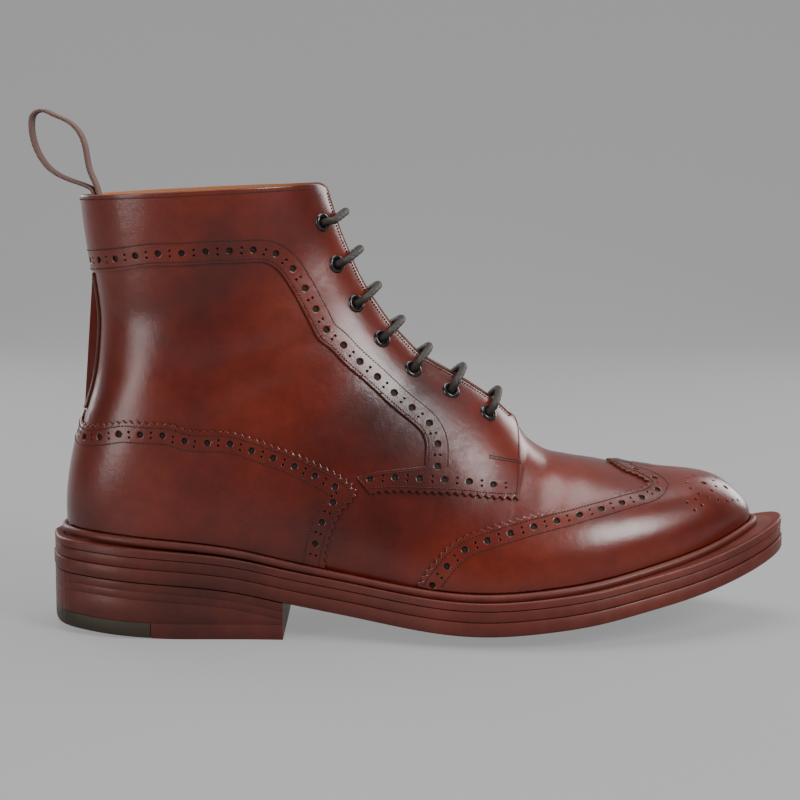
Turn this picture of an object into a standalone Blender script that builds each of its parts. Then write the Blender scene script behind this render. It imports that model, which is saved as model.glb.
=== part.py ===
"""Brogue boot, right foot: toe to +X, outer side to -Y, standing on z = 0. Metres."""
import math

import bmesh
import bpy
import numpy as np
from mathutils import Vector
from mathutils.geometry import delaunay_2d_cdt

# Driving sizes of the last and the upper
LAST_LENGTH = 0.300        # heel back to toe tip, along the feather line
BALL_WIDTH = 0.092         # widest width of the upper, at the ball
INSTEP_HEIGHT = 0.065      # ridge above the feather line where the throat begins
SHAFT_RISE = 0.103         # collar front above that point
HEEL_HEIGHT = 0.0278       # underside of the outsole above the floor at the back
TOE_SPRING = 0.0335        # underside of the outsole above the floor at the toe tip
TOE_MARGIN = 0.0150        # outsole edge before the toe of the upper
TREAD_CROWN = 0.0065       # how far the forefoot's edges lift above its middle
UPPER_WALL = 0.0020

# Sole layers and heel
CLEARANCE = 0.0003         # gap between pieces that meet
WELT_GAP = 0.0017           # between the welt's rib and the upper
LACE_SPACE = 0.0008         # on either side of the lace, behind the facings
LOOP_SPACE = 0.0020         # between the pull loop's ends and the collar's inside
OUTSOLE_THICKNESS = 0.0050
MIDSOLE_THICKNESS = 0.0043
WELT_THICKNESS = 0.0034
INSOLE_THICKNESS = 0.0025
RIB_HEIGHT = 0.0040        # storm rib above the welt
RIB_FOOT_WIDTH = 0.0038
RIB_TOP_WIDTH = 0.0024
RIB_GAP = 0.0023           # between the rib and the foot of an overlay
HEEL_LENGTH = 0.1022       # back of the outsole to the heel's straight front
TOP_PIECE_THICKNESS = 0.0066
LIFT_THICKNESS = 0.0032
TIP_LENGTH = 0.0460        # rubber rear part of the top piece
HEEL_REST_LENGTH = 0.0420  # flat part of the top piece, from the front back
HEEL_BACK_LIFT = 0.0035    # how far the worn back edge clears the floor
FLAT_SPOT_DEPTH = 0.0010   # depth of the flat under the ball

# Overlays and trim
OVERLAY_THICKNESS = 0.0010
BACK_STRAP_WIDTH = 0.0160
TONGUE_THICKNESS = 0.0018
TONGUE_WIDTH = 0.064
TONGUE_FROM = 0.325        # places on the last where the tongue begins and ends
TONGUE_TO = 0.985
THROAT_GAP = 0.0140        # between the two facing edges
EYELET_COUNT = 7           # on each side
EYELET_PITCH = 0.0188
EYELET_EDGE = 0.0105       # from the facing's edge to the eyelets' middles
EYELET_TOP = 0.0165        # from the collar to the first eyelet
EYELET_DIAMETER = 0.0080
EYELET_BORE = 0.0046
EYELET_BARREL_WALL = 0.0004
EYELET_FLANGE = 0.0006
LACE_DIAMETER = 0.0034
LACE_RUN = 0.0235          # from the ridge to the run behind the outer facing
LOOP_WIDTH = 0.0105
LOOP_THICKNESS = 0.0013
LOOP_HEIGHT = 0.0340       # reach of the loop above the collar's back

THROAT_AT = 0.372          # place on the last where the throat begins
THROAT_ROUND = 0.030       # stretch of places over which it opens to its full width
COLLAR_CORNER = 0.011      # radius of the collar's front corners
FACING_FROM = 0.405        # place on the last where the facing's straight edge begins
FACING_SETBACK = 0.002     # share by which the facing lies behind the upper's edge
FACING_BACK = 0.700        # foot of the collar band at the back, share of the full height
STRAP_END_GAP = 0.006      # share of the full height between the strap and its neighbours
CAP_PEAK = 0.786           # toe cap's point on the ridge, as a share of the last's length
COUNTER_TOP = 0.335        # counter's top at the back, as a share of the full height
INSOLE_GAP = 0.0016
INSOLE_FROM = 0.030        # places on the last where the insole begins and ends
INSOLE_TO = 0.030
MIDSOLE_INSET = 0.0005
WELT_INSET = 0.0005
HEEL_INSET = 0.0004

# Mesh fineness
ROWS_ALONG = 24
COLUMNS_PER_SIDE = 9
SOLE_STATIONS = 28
RING_STATIONS = 30         # along one side of the welt
EYELET_SIDES = 8
HEEL_STATIONS = 6
INSOLE_STATIONS = 26
ACROSS = (-1.0, -0.78, -0.52, -0.26, 0.0, 0.26, 0.52, 0.78, 1.0)
MIN_HALF_WIDTH = 0.004
PANEL_LENGTH = 1.2 * LAST_LENGTH   # stretch of places, so that panels' triangles are even
PANEL_HEIGHT = 0.4 * LAST_LENGTH   # stretch of shares
FOOT_POINTS = 16
LACE_SIDES = 5
LOOP_POINTS = 32
PANEL_MERGE = 0.0003       # corners closer than this are one

# Fan of sections from the toe tip to the collar. Lengths are shares: x of
# LAST_LENGTH, back_up of INSTEP_HEIGHT + SHAFT_RISE, widths of BALL_WIDTH.
# front_up is 0 to 1 up to INSTEP_HEIGHT and 1 to 2 over SHAFT_RISE. widest is
# the half width where the section is widest, at that share of its depth, and
# low and high are the exponents of its curve below and above that line.
SECTION_COLUMNS = ("back_x", "back_up", "front_x", "front_up", "centre", "ridge",
                   "feather", "widest", "widest_at", "low", "high")
SECTIONS = (
    (0.996, 0.000, 0.996, 0.000, 0.092, 0.092, 0.000, 0.000, 0.40, 2.30, 2.20),
    (0.994, 0.000, 0.994, 0.160, 0.092, 0.092, 0.039, 0.042, 0.40, 2.30, 2.20),
    (0.988, 0.000, 0.988, 0.230, 0.091, 0.092, 0.076, 0.084, 0.40, 2.30, 2.20),
    (0.976, 0.000, 0.976, 0.311, 0.089, 0.091, 0.124, 0.137, 0.40, 2.30, 2.20),
    (0.957, 0.000, 0.957, 0.416, 0.084, 0.089, 0.187, 0.204, 0.40, 2.30, 2.20),
    (0.931, 0.000, 0.931, 0.504, 0.075, 0.086, 0.253, 0.274, 0.40, 2.30, 2.20),
    (0.894, 0.000, 0.895, 0.574, 0.063, 0.082, 0.322, 0.346, 0.39, 2.30, 2.15),
    (0.847, 0.000, 0.848, 0.643, 0.046, 0.076, 0.389, 0.415, 0.38, 2.30, 2.10),
    (0.792, 0.000, 0.794, 0.740, 0.025, 0.072, 0.446, 0.470, 0.36, 2.30, 2.05),
    (0.732, 0.000, 0.740, 0.832, 0.000, 0.067, 0.482, 0.500, 0.34, 2.30, 2.00),
    (0.668, 0.000, 0.696, 0.904, -0.017, 0.062, 0.490, 0.504, 0.32, 2.30, 1.95),
    (0.608, 0.000, 0.669, 1.000, -0.035, 0.055, 0.467, 0.485, 0.30, 2.30, 1.90),
    (0.545, 0.000, 0.650, 1.081, -0.048, 0.049, 0.420, 0.454, 0.30, 2.30, 1.90),
    (0.478, 0.000, 0.620, 1.175, -0.051, 0.041, 0.363, 0.426, 0.30, 2.30, 1.95),
    (0.405, 0.000, 0.584, 1.250, -0.041, 0.033, 0.324, 0.404, 0.31, 2.30, 2.00),
    (0.319, 0.000, 0.548, 1.308, -0.026, 0.026, 0.307, 0.387, 0.33, 2.30, 2.05),
    (0.232, 0.000, 0.515, 1.357, -0.016, 0.021, 0.311, 0.376, 0.36, 2.40, 2.10),
    (0.152, 0.000, 0.492, 1.415, -0.010, 0.016, 0.314, 0.370, 0.40, 2.50, 2.15),
    (0.085, 0.000, 0.474, 1.463, -0.005, 0.013, 0.289, 0.365, 0.43, 2.50, 2.20),
    (0.042, 0.000, 0.460, 1.511, -0.002, 0.010, 0.224, 0.361, 0.45, 2.50, 2.20),
    (0.017, 0.000, 0.449, 1.555, 0.000, 0.007, 0.133, 0.358, 0.46, 2.50, 2.20),
    (0.007, 0.000, 0.445, 1.571, 0.000, 0.005, 0.000, 0.356, 0.46, 2.50, 2.20),
    (0.005, 0.041, 0.440, 1.588, 0.000, 0.004, 0.000, 0.354, 0.46, 2.50, 2.20),
    (0.005, 0.118, 0.430, 1.635, 0.000, 0.002, 0.000, 0.350, 0.46, 2.50, 2.20),
    (0.014, 0.229, 0.418, 1.703, 0.000, 0.000, 0.000, 0.343, 0.46, 2.40, 2.20),
    (0.028, 0.322, 0.408, 1.766, 0.000, 0.000, 0.000, 0.337, 0.46, 2.40, 2.20),
    (0.043, 0.413, 0.400, 1.816, 0.000, 0.000, 0.000, 0.335, 0.46, 2.30, 2.20),
    (0.051, 0.509, 0.394, 1.861, 0.000, 0.000, 0.000, 0.339, 0.46, 2.30, 2.20),
    (0.052, 0.605, 0.389, 1.903, 0.000, 0.000, 0.000, 0.350, 0.46, 2.30, 2.20),
    (0.046, 0.699, 0.384, 1.941, 0.000, 0.000, 0.000, 0.365, 0.47, 2.30, 2.20),
    (0.038, 0.794, 0.380, 1.976, 0.000, 0.000, 0.000, 0.380, 0.48, 2.30, 2.20),
    (0.032, 0.890, 0.376, 2.004, 0.000, 0.000, 0.000, 0.391, 0.48, 2.30, 2.20),
)

# Centre line of the outsole's underside. x is a share of LAST_LENGTH, up of
# HEEL_HEIGHT behind the ball and of TOE_SPRING before it, crown of TREAD_CROWN.
SOLE_COLUMNS = ("x", "up", "crown")
BALL_AT = 0.595
SOLE_LINE = (
    (-0.030, 1.000, 0.00),
    (0.058, 0.950, 0.00),
    (0.148, 0.878, 0.00),
    (0.262, 0.705, 0.15),
    (0.315, 0.561, 0.25),
    (0.412, 0.302, 0.60),
    (0.512, 0.086, 0.85),
    (0.595, 0.000, 1.00),
    (0.692, 0.060, 1.00),
    (0.762, 0.161, 0.89),
    (0.832, 0.307, 0.75),
    (0.908, 0.493, 0.51),
    (0.972, 0.696, 0.28),
    (1.018, 0.872, 0.08),
    (1.048, 1.000, 0.00),
)

# Outsole edge outside the feather line, as shares of TOE_MARGIN, from heel back to toe tip
MARGIN_AT = (0.00, 0.10, 0.30, 0.55, 0.80, 0.95, 1.00)
MARGINS = (0.567, 0.520, 0.507, 0.667, 0.747, 0.920, 1.000)

# Edges of the overlays seen from the side: x as a share of LAST_LENGTH and
# height above the feather line as a share of INSTEP_HEIGHT + SHAFT_RISE
CAP_EDGE = (
    (0.803, 0.272), (0.825, 0.252), (0.839, 0.233), (0.833, 0.226), (0.797, 0.234),
    (0.766, 0.235), (0.719, 0.231), (0.681, 0.228), (0.643, 0.221), (0.606, 0.208),
    (0.572, 0.189), (0.554, 0.168), (0.539, 0.137), (0.524, 0.101), (0.513, 0.072),
    (0.506, 0.046),
)
COUNTER_EDGE = (
    (0.097, 0.342), (0.165, 0.349), (0.225, 0.346), (0.284, 0.339), (0.344, 0.323),
    (0.389, 0.300), (0.416, 0.281), (0.431, 0.249), (0.405, 0.207), (0.394, 0.165),
    (0.386, 0.121), (0.381, 0.079), (0.379, 0.046),
)
FACING_TAB = ((0.650, 0.440), (0.656, 0.398), (0.654, 0.299), (0.650, 0.262))
FACING_BAND = ((0.606, 0.271), (0.568, 0.279), (0.532, 0.277), (0.479, 0.270),
               (0.455, 0.260), (0.441, 0.254))
FACING_INNER = (
    (0.424, 0.291), (0.449, 0.312), (0.494, 0.332), (0.520, 0.343), (0.522, 0.410),
    (0.512, 0.432), (0.487, 0.459), (0.453, 0.504), (0.417, 0.549), (0.382, 0.602),
    (0.359, 0.650), (0.339, 0.712), (0.319, 0.766), (0.299, 0.788), (0.231, 0.760),
    (0.143, 0.737), (0.060, 0.705),
)

LACE_TURN = 0.02           # stretch of places over which the inner run turns to its eyelet

# How a bar of the lace leaves its eyelet: steps towards the throat and heights
# above the upper, as shares of the lace's diameter
LACE_RISE = ((0.52, -1.22), (0.11, -0.88), (0.0, -0.35), (0.0, 0.35), (0.11, 0.97), (0.52, 1.38), (1.10, 1.43))

# The pull loop's middle line from its outer end to its inner end: x and z from
# the inside of the collar's back, as shares of LOOP_HEIGHT, and twist in radians
LOOP_ROUTE = (
    (0.040, -0.330, 0.0), (0.006, -0.053, 0.0), (-0.019, 0.059, 0.0), (-0.107, 0.115, 0.0),
    (-0.325, 0.194, 0.0), (-0.537, 0.312, 0.1), (-0.684, 0.500, 0.2), (-0.754, 0.688, 0.3),
    (-0.775, 0.874, 0.3), (-0.737, 1.009, 0.3), (-0.646, 1.050, 0.3), (-0.496, 1.000, 0.3),
    (-0.310, 0.912, 0.3), (-0.175, 0.774, 0.3), (-0.101, 0.562, 0.2), (-0.057, 0.315, 0.1),
    (0.020, 0.124, 0.0), (0.058, -0.010, 0.0), (0.098, -0.330, 0.0),
)


def spline(knots, values, where):
    """Natural cubic through the knots, one curve for each column of values."""
    knots = np.asarray(knots, dtype=float)
    values = np.asarray(values, dtype=float).reshape(len(knots), -1)
    step = np.diff(knots)
    system = np.eye(len(knots))
    right = np.zeros_like(values)
    slope = np.diff(values, axis=0) / step[:, None]
    for i in range(1, len(knots) - 1):
        system[i, i - 1:i + 2] = (step[i - 1], 2 * (step[i - 1] + step[i]), step[i])
        right[i] = 6 * (slope[i] - slope[i - 1])
    bend = np.linalg.solve(system, right)
    where = np.clip(np.atleast_1d(where).astype(float), knots[0], knots[-1])
    k = np.clip(np.searchsorted(knots, where, side="right") - 1, 0, len(knots) - 2)
    width = step[k][:, None]
    b = (where - knots[k])[:, None] / width
    a = 1 - b
    curve = (a ** 3 - a) * bend[k] + (b ** 3 - b) * bend[k + 1]
    return a * values[k] + b * values[k + 1] + curve * width ** 2 / 6


# The sole's levels, each the top or underside of a layer above the outsole's underside
MIDSOLE_LEVEL = OUTSOLE_THICKNESS + CLEARANCE
MIDSOLE_TOP = MIDSOLE_LEVEL + MIDSOLE_THICKNESS
SEAT_LEVEL = MIDSOLE_TOP + CLEARANCE
WELT_TOP = SEAT_LEVEL + WELT_THICKNESS
FEATHER_CROWN = 0.67       # share of the crown at the feather line

SOLE_TABLE = np.array(SOLE_LINE)
SOLE_X = SOLE_TABLE[:, 0] * LAST_LENGTH
SOLE_REACH = np.where(SOLE_TABLE[:, 0] < BALL_AT, HEEL_HEIGHT, TOE_SPRING)
SOLE_CURVES = np.column_stack((SOLE_TABLE[:, 1] * SOLE_REACH, SOLE_TABLE[:, 2] * TREAD_CROWN))

TABLE = {name: np.array(column) for name, column in zip(SECTION_COLUMNS, zip(*SECTIONS))}


def seat(x):
    """Height of the feather line at x."""
    curves = spline(SOLE_X, SOLE_CURVES, x)
    return curves[:, 0] + FEATHER_CROWN * curves[:, 1] + SEAT_LEVEL


def front_height(share):
    """Height above the feather line of a front_up value."""
    return np.minimum(share, 1) * INSTEP_HEIGHT + np.maximum(share - 1, 0) * SHAFT_RISE


def section_places():
    """Place of each section between toe tip, 0, and collar, 1, by the steps of its two ends."""
    back = np.column_stack((TABLE["back_x"] * LAST_LENGTH,
                            TABLE["back_up"] * (INSTEP_HEIGHT + SHAFT_RISE),
                            TABLE["feather"] * BALL_WIDTH))
    front = np.column_stack((TABLE["front_x"] * LAST_LENGTH,
                             front_height(TABLE["front_up"]),
                             TABLE["widest"] * BALL_WIDTH))
    steps = np.linalg.norm(np.diff(back, axis=0), axis=1)
    steps = steps + np.linalg.norm(np.diff(front, axis=0), axis=1)
    return np.concatenate(([0.0], np.cumsum(steps))) / steps.sum()


PLACES = section_places()
HEEL_ROW = max(i for i in range(1, len(SECTIONS)) if TABLE["back_up"][i] == 0)
HEEL_AT = PLACES[HEEL_ROW]     # behind this place the sections close on the back line
CURVES = np.column_stack([TABLE[name] for name in SECTION_COLUMNS])
ANGLE_STEPS = 40


def section_at(places):
    """The sections' sizes in metres at these places."""
    row = dict(zip(SECTION_COLUMNS, spline(PLACES, CURVES, places).T))
    back_x = row["back_x"] * LAST_LENGTH
    front_x = row["front_x"] * LAST_LENGTH
    back_up = np.where(places > HEEL_AT, np.maximum(row["back_up"], 0), 0)
    feather = np.where(places < HEEL_AT, np.maximum(row["feather"], 0), 0) * BALL_WIDTH
    widest = np.maximum(row["widest"] * BALL_WIDTH, 1e-9)
    feather = np.minimum(feather, widest * 0.995)
    back_z = seat(back_x) + back_up * (INSTEP_HEIGHT + SHAFT_RISE)
    front_z = seat(front_x) + front_height(np.maximum(row["front_up"], 0))
    low = row["low"]
    reach = (1 - (feather / widest) ** low) ** (1 / low)
    return {"back": np.column_stack((back_x, back_z)), "front": np.column_stack((front_x, front_z)),
            "centre": row["centre"] * BALL_WIDTH, "ridge": row["ridge"] * BALL_WIDTH,
            "widest": widest, "at": row["widest_at"], "low": low, "high": row["high"],
            "reach": reach, "feather": feather}


def section_curve(row, angle):
    """Depth share and half width along a section at an angle, 0 where it is widest."""
    sine = np.sin(angle)
    power = np.where(sine < 0, row["low"][:, None], row["high"][:, None])
    lower = (row["at"] / row["reach"])[:, None]
    upper = (1 - row["at"])[:, None]
    depth = row["at"][:, None] + sine * np.where(sine < 0, lower, upper)
    width = row["widest"][:, None] * np.maximum(1 - np.abs(sine) ** power, 0) ** (1 / power)
    return depth, width


def last_points(places, across):
    """Points of the last. across runs -1 outer feather, 0 ridge, 1 inner feather."""
    places = np.clip(places, 0, 1)
    side = np.where(across < 0, -1.0, 1.0)
    share = np.clip(1 - np.abs(across), 0, 1)
    row = section_at(places)
    span = np.linalg.norm(row["front"] - row["back"], axis=1)
    start = -np.arcsin(row["reach"])
    angles = start[:, None] + (math.pi / 2 - start)[:, None] * np.linspace(0, 1, ANGLE_STEPS + 1)
    depth, width = section_curve(row, angles)
    steps = np.hypot(np.diff(depth, axis=1) * span[:, None], np.diff(width, axis=1))
    run = np.concatenate((np.zeros((len(places), 1)), np.cumsum(steps, axis=1)), axis=1)
    goal = share * run[:, -1]
    k = np.clip((run < goal[:, None]).sum(axis=1) - 1, 0, ANGLE_STEPS - 1)
    index = np.arange(len(places))
    piece = np.maximum(run[index, k + 1] - run[index, k], 1e-12)
    part = (goal - run[index, k]) / piece
    angle = angles[index, k] * (1 - part) + angles[index, k + 1] * part
    depth, width = section_curve(row, angle[:, None])
    depth = depth[:, 0]
    flat = row["back"] + (row["front"] - row["back"]) * depth[:, None]
    ease = np.clip(depth, 0, 1)
    ease = ease * ease * (3 - 2 * ease)
    middle = row["centre"] + (row["ridge"] - row["centre"]) * ease
    return np.column_stack((flat[:, 0], middle + side * width[:, 0], flat[:, 1]))


NORMAL_STEP = 0.002


def last_normals(places, across):
    """Outward unit normals of the last."""
    ahead = last_points(places + NORMAL_STEP, across) - last_points(places - NORMAL_STEP, across)
    closed = places >= HEEL_AT
    over, under = across + NORMAL_STEP, across - NORMAL_STEP
    over = np.where(closed & (over > 1), over - 2, np.minimum(over, 1))
    under = np.where(closed & (under < -1), under + 2, np.maximum(under, -1))
    round_it = last_points(places, over) - last_points(places, under)
    normal = np.cross(round_it, ahead)
    size = np.linalg.norm(normal, axis=1)
    normal[size < 1e-14] = (1, 0, 0)
    return normal / np.linalg.norm(normal, axis=1)[:, None]


# The faceted last: rows from toe to collar, columns from the feather or back line to the ridge
ROWS = np.unique(np.round(np.concatenate((
    np.linspace(0, 1, ROWS_ALONG + 1) ** 1.25, (HEEL_AT, THROAT_AT))), 6))
SHARES = np.linspace(0, 1, COLUMNS_PER_SIDE + 1)
SIDES = {"lateral": -1, "medial": 1}


def faceted_grid(side):
    """Points and normals of one side of the last at the grid's corners."""
    places, shares = np.meshgrid(ROWS, SHARES, indexing="ij")
    across = side * (1 - shares.ravel())
    across = np.where(shares.ravel() == 1, 0, across)
    points = last_points(places.ravel(), across)
    normals = last_normals(places.ravel(), across)
    return points.reshape(len(ROWS), -1, 3), normals.reshape(len(ROWS), -1, 3)


GRIDS = {side: faceted_grid(side) for side in SIDES.values()}
for middle_column in (0, -1):
    closed_rows = ROWS >= HEEL_AT if middle_column == 0 else ROWS >= 0
    for part in (0, 1):
        mean = (GRIDS[-1][part][closed_rows, middle_column]
                + GRIDS[1][part][closed_rows, middle_column]) / 2
        if part == 1:
            mean = mean / np.linalg.norm(mean, axis=1)[:, None]
        for side in GRIDS:
            GRIDS[side][part][closed_rows, middle_column] = mean


def on_facets(side, place, share):
    """Point and normal on the faceted last, which overlays and upper have in common."""
    row = int(np.clip(np.searchsorted(ROWS, place, side="right") - 1, 0, len(ROWS) - 2))
    column = int(np.clip(np.searchsorted(SHARES, share, side="right") - 1, 0, len(SHARES) - 2))
    a = (place - ROWS[row]) / (ROWS[row + 1] - ROWS[row])
    b = (share - SHARES[column]) / (SHARES[column + 1] - SHARES[column])
    found = []
    for grid in GRIDS[side]:
        first, last = grid[row, column], grid[row + 1, column + 1]
        turn = grid[row + 1, column] if a >= b else grid[row, column + 1]
        early, late = (a, b) if a >= b else (b, a)
        found.append(first + (turn - first) * early + (last - turn) * late)
    return found


def side_length(place):
    """Length of a section's outer side from its back or feather to the ridge."""
    line = np.array([on_facets(-1, place, share)[0] for share in SHARES])
    return np.linalg.norm(np.diff(line, axis=0), axis=1).sum()


SIDE_LENGTHS = np.array([side_length(place) for place in ROWS])


def share_from_ridge(place, distance):
    """Share of a section that lies this far from the ridge along the surface."""
    return 1 - distance / np.interp(place, ROWS, SIDE_LENGTHS)


def share_from_back(place, distance):
    """Share of a section that lies this far from the back line along the surface."""
    return distance / np.interp(place, ROWS, SIDE_LENGTHS)


FINE_ROWS = np.linspace(0, 1, 241)
FINE_SHARES = np.linspace(0, 1, 97)
FINE_PLACES, FINE_ACROSS = np.meshgrid(FINE_ROWS, FINE_SHARES - 1, indexing="ij")
FINE_POINTS = last_points(FINE_PLACES.ravel(), FINE_ACROSS.ravel())
FINE_UP = (FINE_POINTS[:, 2] - seat(FINE_POINTS[:, 0])).reshape(FINE_PLACES.shape)
FINE_X = FINE_POINTS[:, 0].reshape(FINE_PLACES.shape)


def find_on_last(x, up):
    """Place and share of the side-view position x, up, where up is measured from the feather line."""
    gap = (FINE_X - x) ** 2 + (FINE_UP - up) ** 2
    i, j = np.unravel_index(gap.argmin(), gap.shape)
    i = int(np.clip(i, 1, len(FINE_ROWS) - 2))
    j = int(np.clip(j, 1, len(FINE_SHARES) - 2))
    along = np.array((FINE_X[i + 1, j] - FINE_X[i - 1, j], FINE_UP[i + 1, j] - FINE_UP[i - 1, j])) / 2
    round_it = np.array((FINE_X[i, j + 1] - FINE_X[i, j - 1], FINE_UP[i, j + 1] - FINE_UP[i, j - 1])) / 2
    miss = np.array((x - FINE_X[i, j], up - FINE_UP[i, j]))
    step = np.linalg.lstsq(np.column_stack((along, round_it)), miss, rcond=0.05)[0]
    step = np.clip(step, -1, 1)
    place = FINE_ROWS[i] + step[0] * FINE_ROWS[1]
    share = FINE_SHARES[j] + step[1] * FINE_SHARES[1]
    return float(np.clip(place, 0, 1)), float(np.clip(share, 0, 1))


def outline(points):
    """Side-view points, as shares of the last's length and full height, found on the last."""
    full = INSTEP_HEIGHT + SHAFT_RISE
    return [find_on_last(x * LAST_LENGTH, up * full) for x, up in points]


def level_line(up, first, last, count):
    """Line on the last at one height above the feather line, between two places."""
    line = []
    places = last + (first - last) * np.linspace(1, 0, count) ** 2
    if count > 1 and min(first, last) < HEEL_AT < max(first, last):
        near = HEEL_AT + np.linspace(-1, 1, 9) * (last - first) / count
        places = np.sort(np.append(places, near))
        places = places if first < last else places[::-1]
    for place in places:
        i = min(int(place * (len(FINE_ROWS) - 1)), len(FINE_ROWS) - 2)
        part = place * (len(FINE_ROWS) - 1) - i
        heights = FINE_UP[i] * (1 - part) + FINE_UP[i + 1] * part
        top = int(heights.argmax())
        line.append((place, float(np.interp(up, heights[:top + 1], FINE_SHARES[:top + 1]))))
    return line


def level_ends(up):
    """Places where the line at this height meets the ridge at the toe and the back line."""
    ridge = FINE_UP[:, -1]
    toe = np.interp(up, ridge[:120], FINE_ROWS[:120])
    back = FINE_UP[:, 0]
    heel = np.interp(up, back[FINE_ROWS >= HEEL_AT], FINE_ROWS[FINE_ROWS >= HEEL_AT])
    return float(toe), float(heel)


def new_object(name, points, faces, colour, roughness=0.45, metallic=0.0, smooth=True):
    """One closed mesh object with its own material."""
    mesh = bpy.data.meshes.new(name)
    mesh.from_pydata([tuple(point) for point in points], [], [tuple(face) for face in faces])
    work = bmesh.new()
    work.from_mesh(mesh)
    bmesh.ops.remove_doubles(work, verts=work.verts, dist=1e-6)
    bmesh.ops.dissolve_degenerate(work, dist=1e-7, edges=work.edges)
    bmesh.ops.triangulate(work, faces=work.faces)
    work.to_mesh(mesh)
    work.free()
    item = bpy.data.objects.new(name, mesh)
    bpy.context.scene.collection.objects.link(item)
    material = bpy.data.materials.new(name)
    material.use_nodes = True
    shader = material.node_tree.nodes["Principled BSDF"]
    shader.inputs["Base Color"].default_value = (*colour, 1)
    shader.inputs["Roughness"].default_value = roughness
    shader.inputs["Metallic"].default_value = metallic
    mesh.materials.append(material)
    if smooth:
        mesh.shade_smooth()
        mesh.set_sharp_from_angle(angle=math.radians(40))
    return item


def thicken(points, normals, faces, inner, outer):
    """Closed shell between two offsets of an open surface."""
    points = np.asarray(points)
    normals = np.asarray(normals)
    count = len(points)
    shell = np.concatenate((points + normals * outer, points + normals * inner))
    turned = []
    for face in faces:
        a, b, c = (points[k] for k in face[:3])
        way = np.dot(np.cross(b - a, c - a), normals[list(face)].mean(axis=0))
        turned.append(list(face) if way > 0 else list(reversed(face)))
    edges = {}
    for face in turned:
        for k in range(len(face)):
            edges[(face[k], face[(k + 1) % len(face)])] = True
    solid = [list(face) for face in turned]
    solid += [[k + count for k in reversed(face)] for face in turned]
    for a, b in edges:
        if (b, a) not in edges:
            solid.append([b, a, a + count, b + count])
    return shell, solid


def weld(points, normals, faces):
    """Joins corners that two sides have in common, such as those on the ridge."""
    keys = {}
    kept_points, kept_normals, index = [], [], []
    for point, normal in zip(points, normals):
        key = tuple(np.round(point * 1e6).astype(int))
        if key not in keys:
            keys[key] = len(kept_points)
            kept_points.append(point)
            kept_normals.append(normal)
        index.append(keys[key])
    joined = []
    for face in faces:
        corners = []
        for k in face:
            if index[k] not in corners:
                corners.append(index[k])
        if len(corners) > 2 and has_area([kept_points[k] for k in corners]):
            joined.append(corners)
    return np.array(kept_points), np.array(kept_normals), joined


def has_area(corners):
    """Whether a triangle is more than a line, as those at the pole of the toe can be."""
    a, b, c = corners[:3]
    return np.linalg.norm(np.cross(b - a, c - a)) > 1e-10


CORNER_AT = 1 - COLLAR_CORNER / PANEL_LENGTH
CORNER_PLACES = [CORNER_AT + (1 - CORNER_AT) * math.sin(turn) for turn in np.linspace(0, math.pi / 2, 6)]


def throat_share(place):
    """Share at which the throat's edge lies, 1 where the upper is closed over the ridge."""
    if place <= THROAT_AT + 1e-6:
        return 1.0
    opening = min((place - THROAT_AT) / THROAT_ROUND, 1)
    half = THROAT_GAP / 2 * math.sqrt(1 - (1 - opening) ** 2)
    down = min((1 - place) * PANEL_LENGTH, COLLAR_CORNER)
    corner = COLLAR_CORNER - math.sqrt(COLLAR_CORNER ** 2 - (COLLAR_CORNER - down) ** 2)
    return share_from_ridge(place, half + corner)


# Corners of the upper's foot between its rows, which lie far apart round the heel
FOOT_PLACES = np.linspace(0.48, HEEL_AT, 16)[1:-1]


def upper_loop():
    """Loop round one side of the upper: feather, back line, collar, throat and ridge."""
    places = [place for place in ROWS if THROAT_AT + 1e-6 < place < CORNER_AT] + CORNER_PLACES
    throat = [(place, throat_share(place)) for place in places]
    throat.reverse()
    foot = [(place, 0.0) for place in FOOT_PLACES]
    return [(0.0, 0.0)] + foot + [(1.0, 0.0)] + throat + [(THROAT_AT, 1.0), (0.0, 1.0)]


def upper():
    """Hollow leather upper, open at the collar, the throat and underneath."""
    points, normals, faces = panel_surface(upper_loop(), SIDES.values())
    shell, solid = thicken(points, normals, faces, -UPPER_WALL, 0)
    feet = ROWS < HEEL_AT + 1e-6
    foot_points = {tuple(np.round(on_facets(side, place, 0.0)[0] * 1e6).astype(int))
                   for side in GRIDS for place in np.append(ROWS[feet], FOOT_PLACES)}
    for k, point in enumerate(points):
        if tuple(np.round(point * 1e6).astype(int)) in foot_points:
            for corner in (k, k + len(points)):
                shell[corner, 2] = bed(shell[corner, 0], shell[corner, 1], SEAT_LEVEL)
    return new_object("upper", shell, solid, (0.30, 0.045, 0.02), 0.3)


def grid_edges(width):
    """Edges and diagonals of the grid's cells, by the order of its corners."""
    edges = []
    for i in range(len(ROWS)):
        for j in range(width):
            if j + 1 < width:
                edges.append((i * width + j, i * width + j + 1))
            if i + 1 < len(ROWS):
                edges.append((i * width + j, (i + 1) * width + j))
            if i + 1 < len(ROWS) and j + 1 < width:
                edges.append((i * width + j, (i + 1) * width + j + 1))
    return edges


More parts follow.
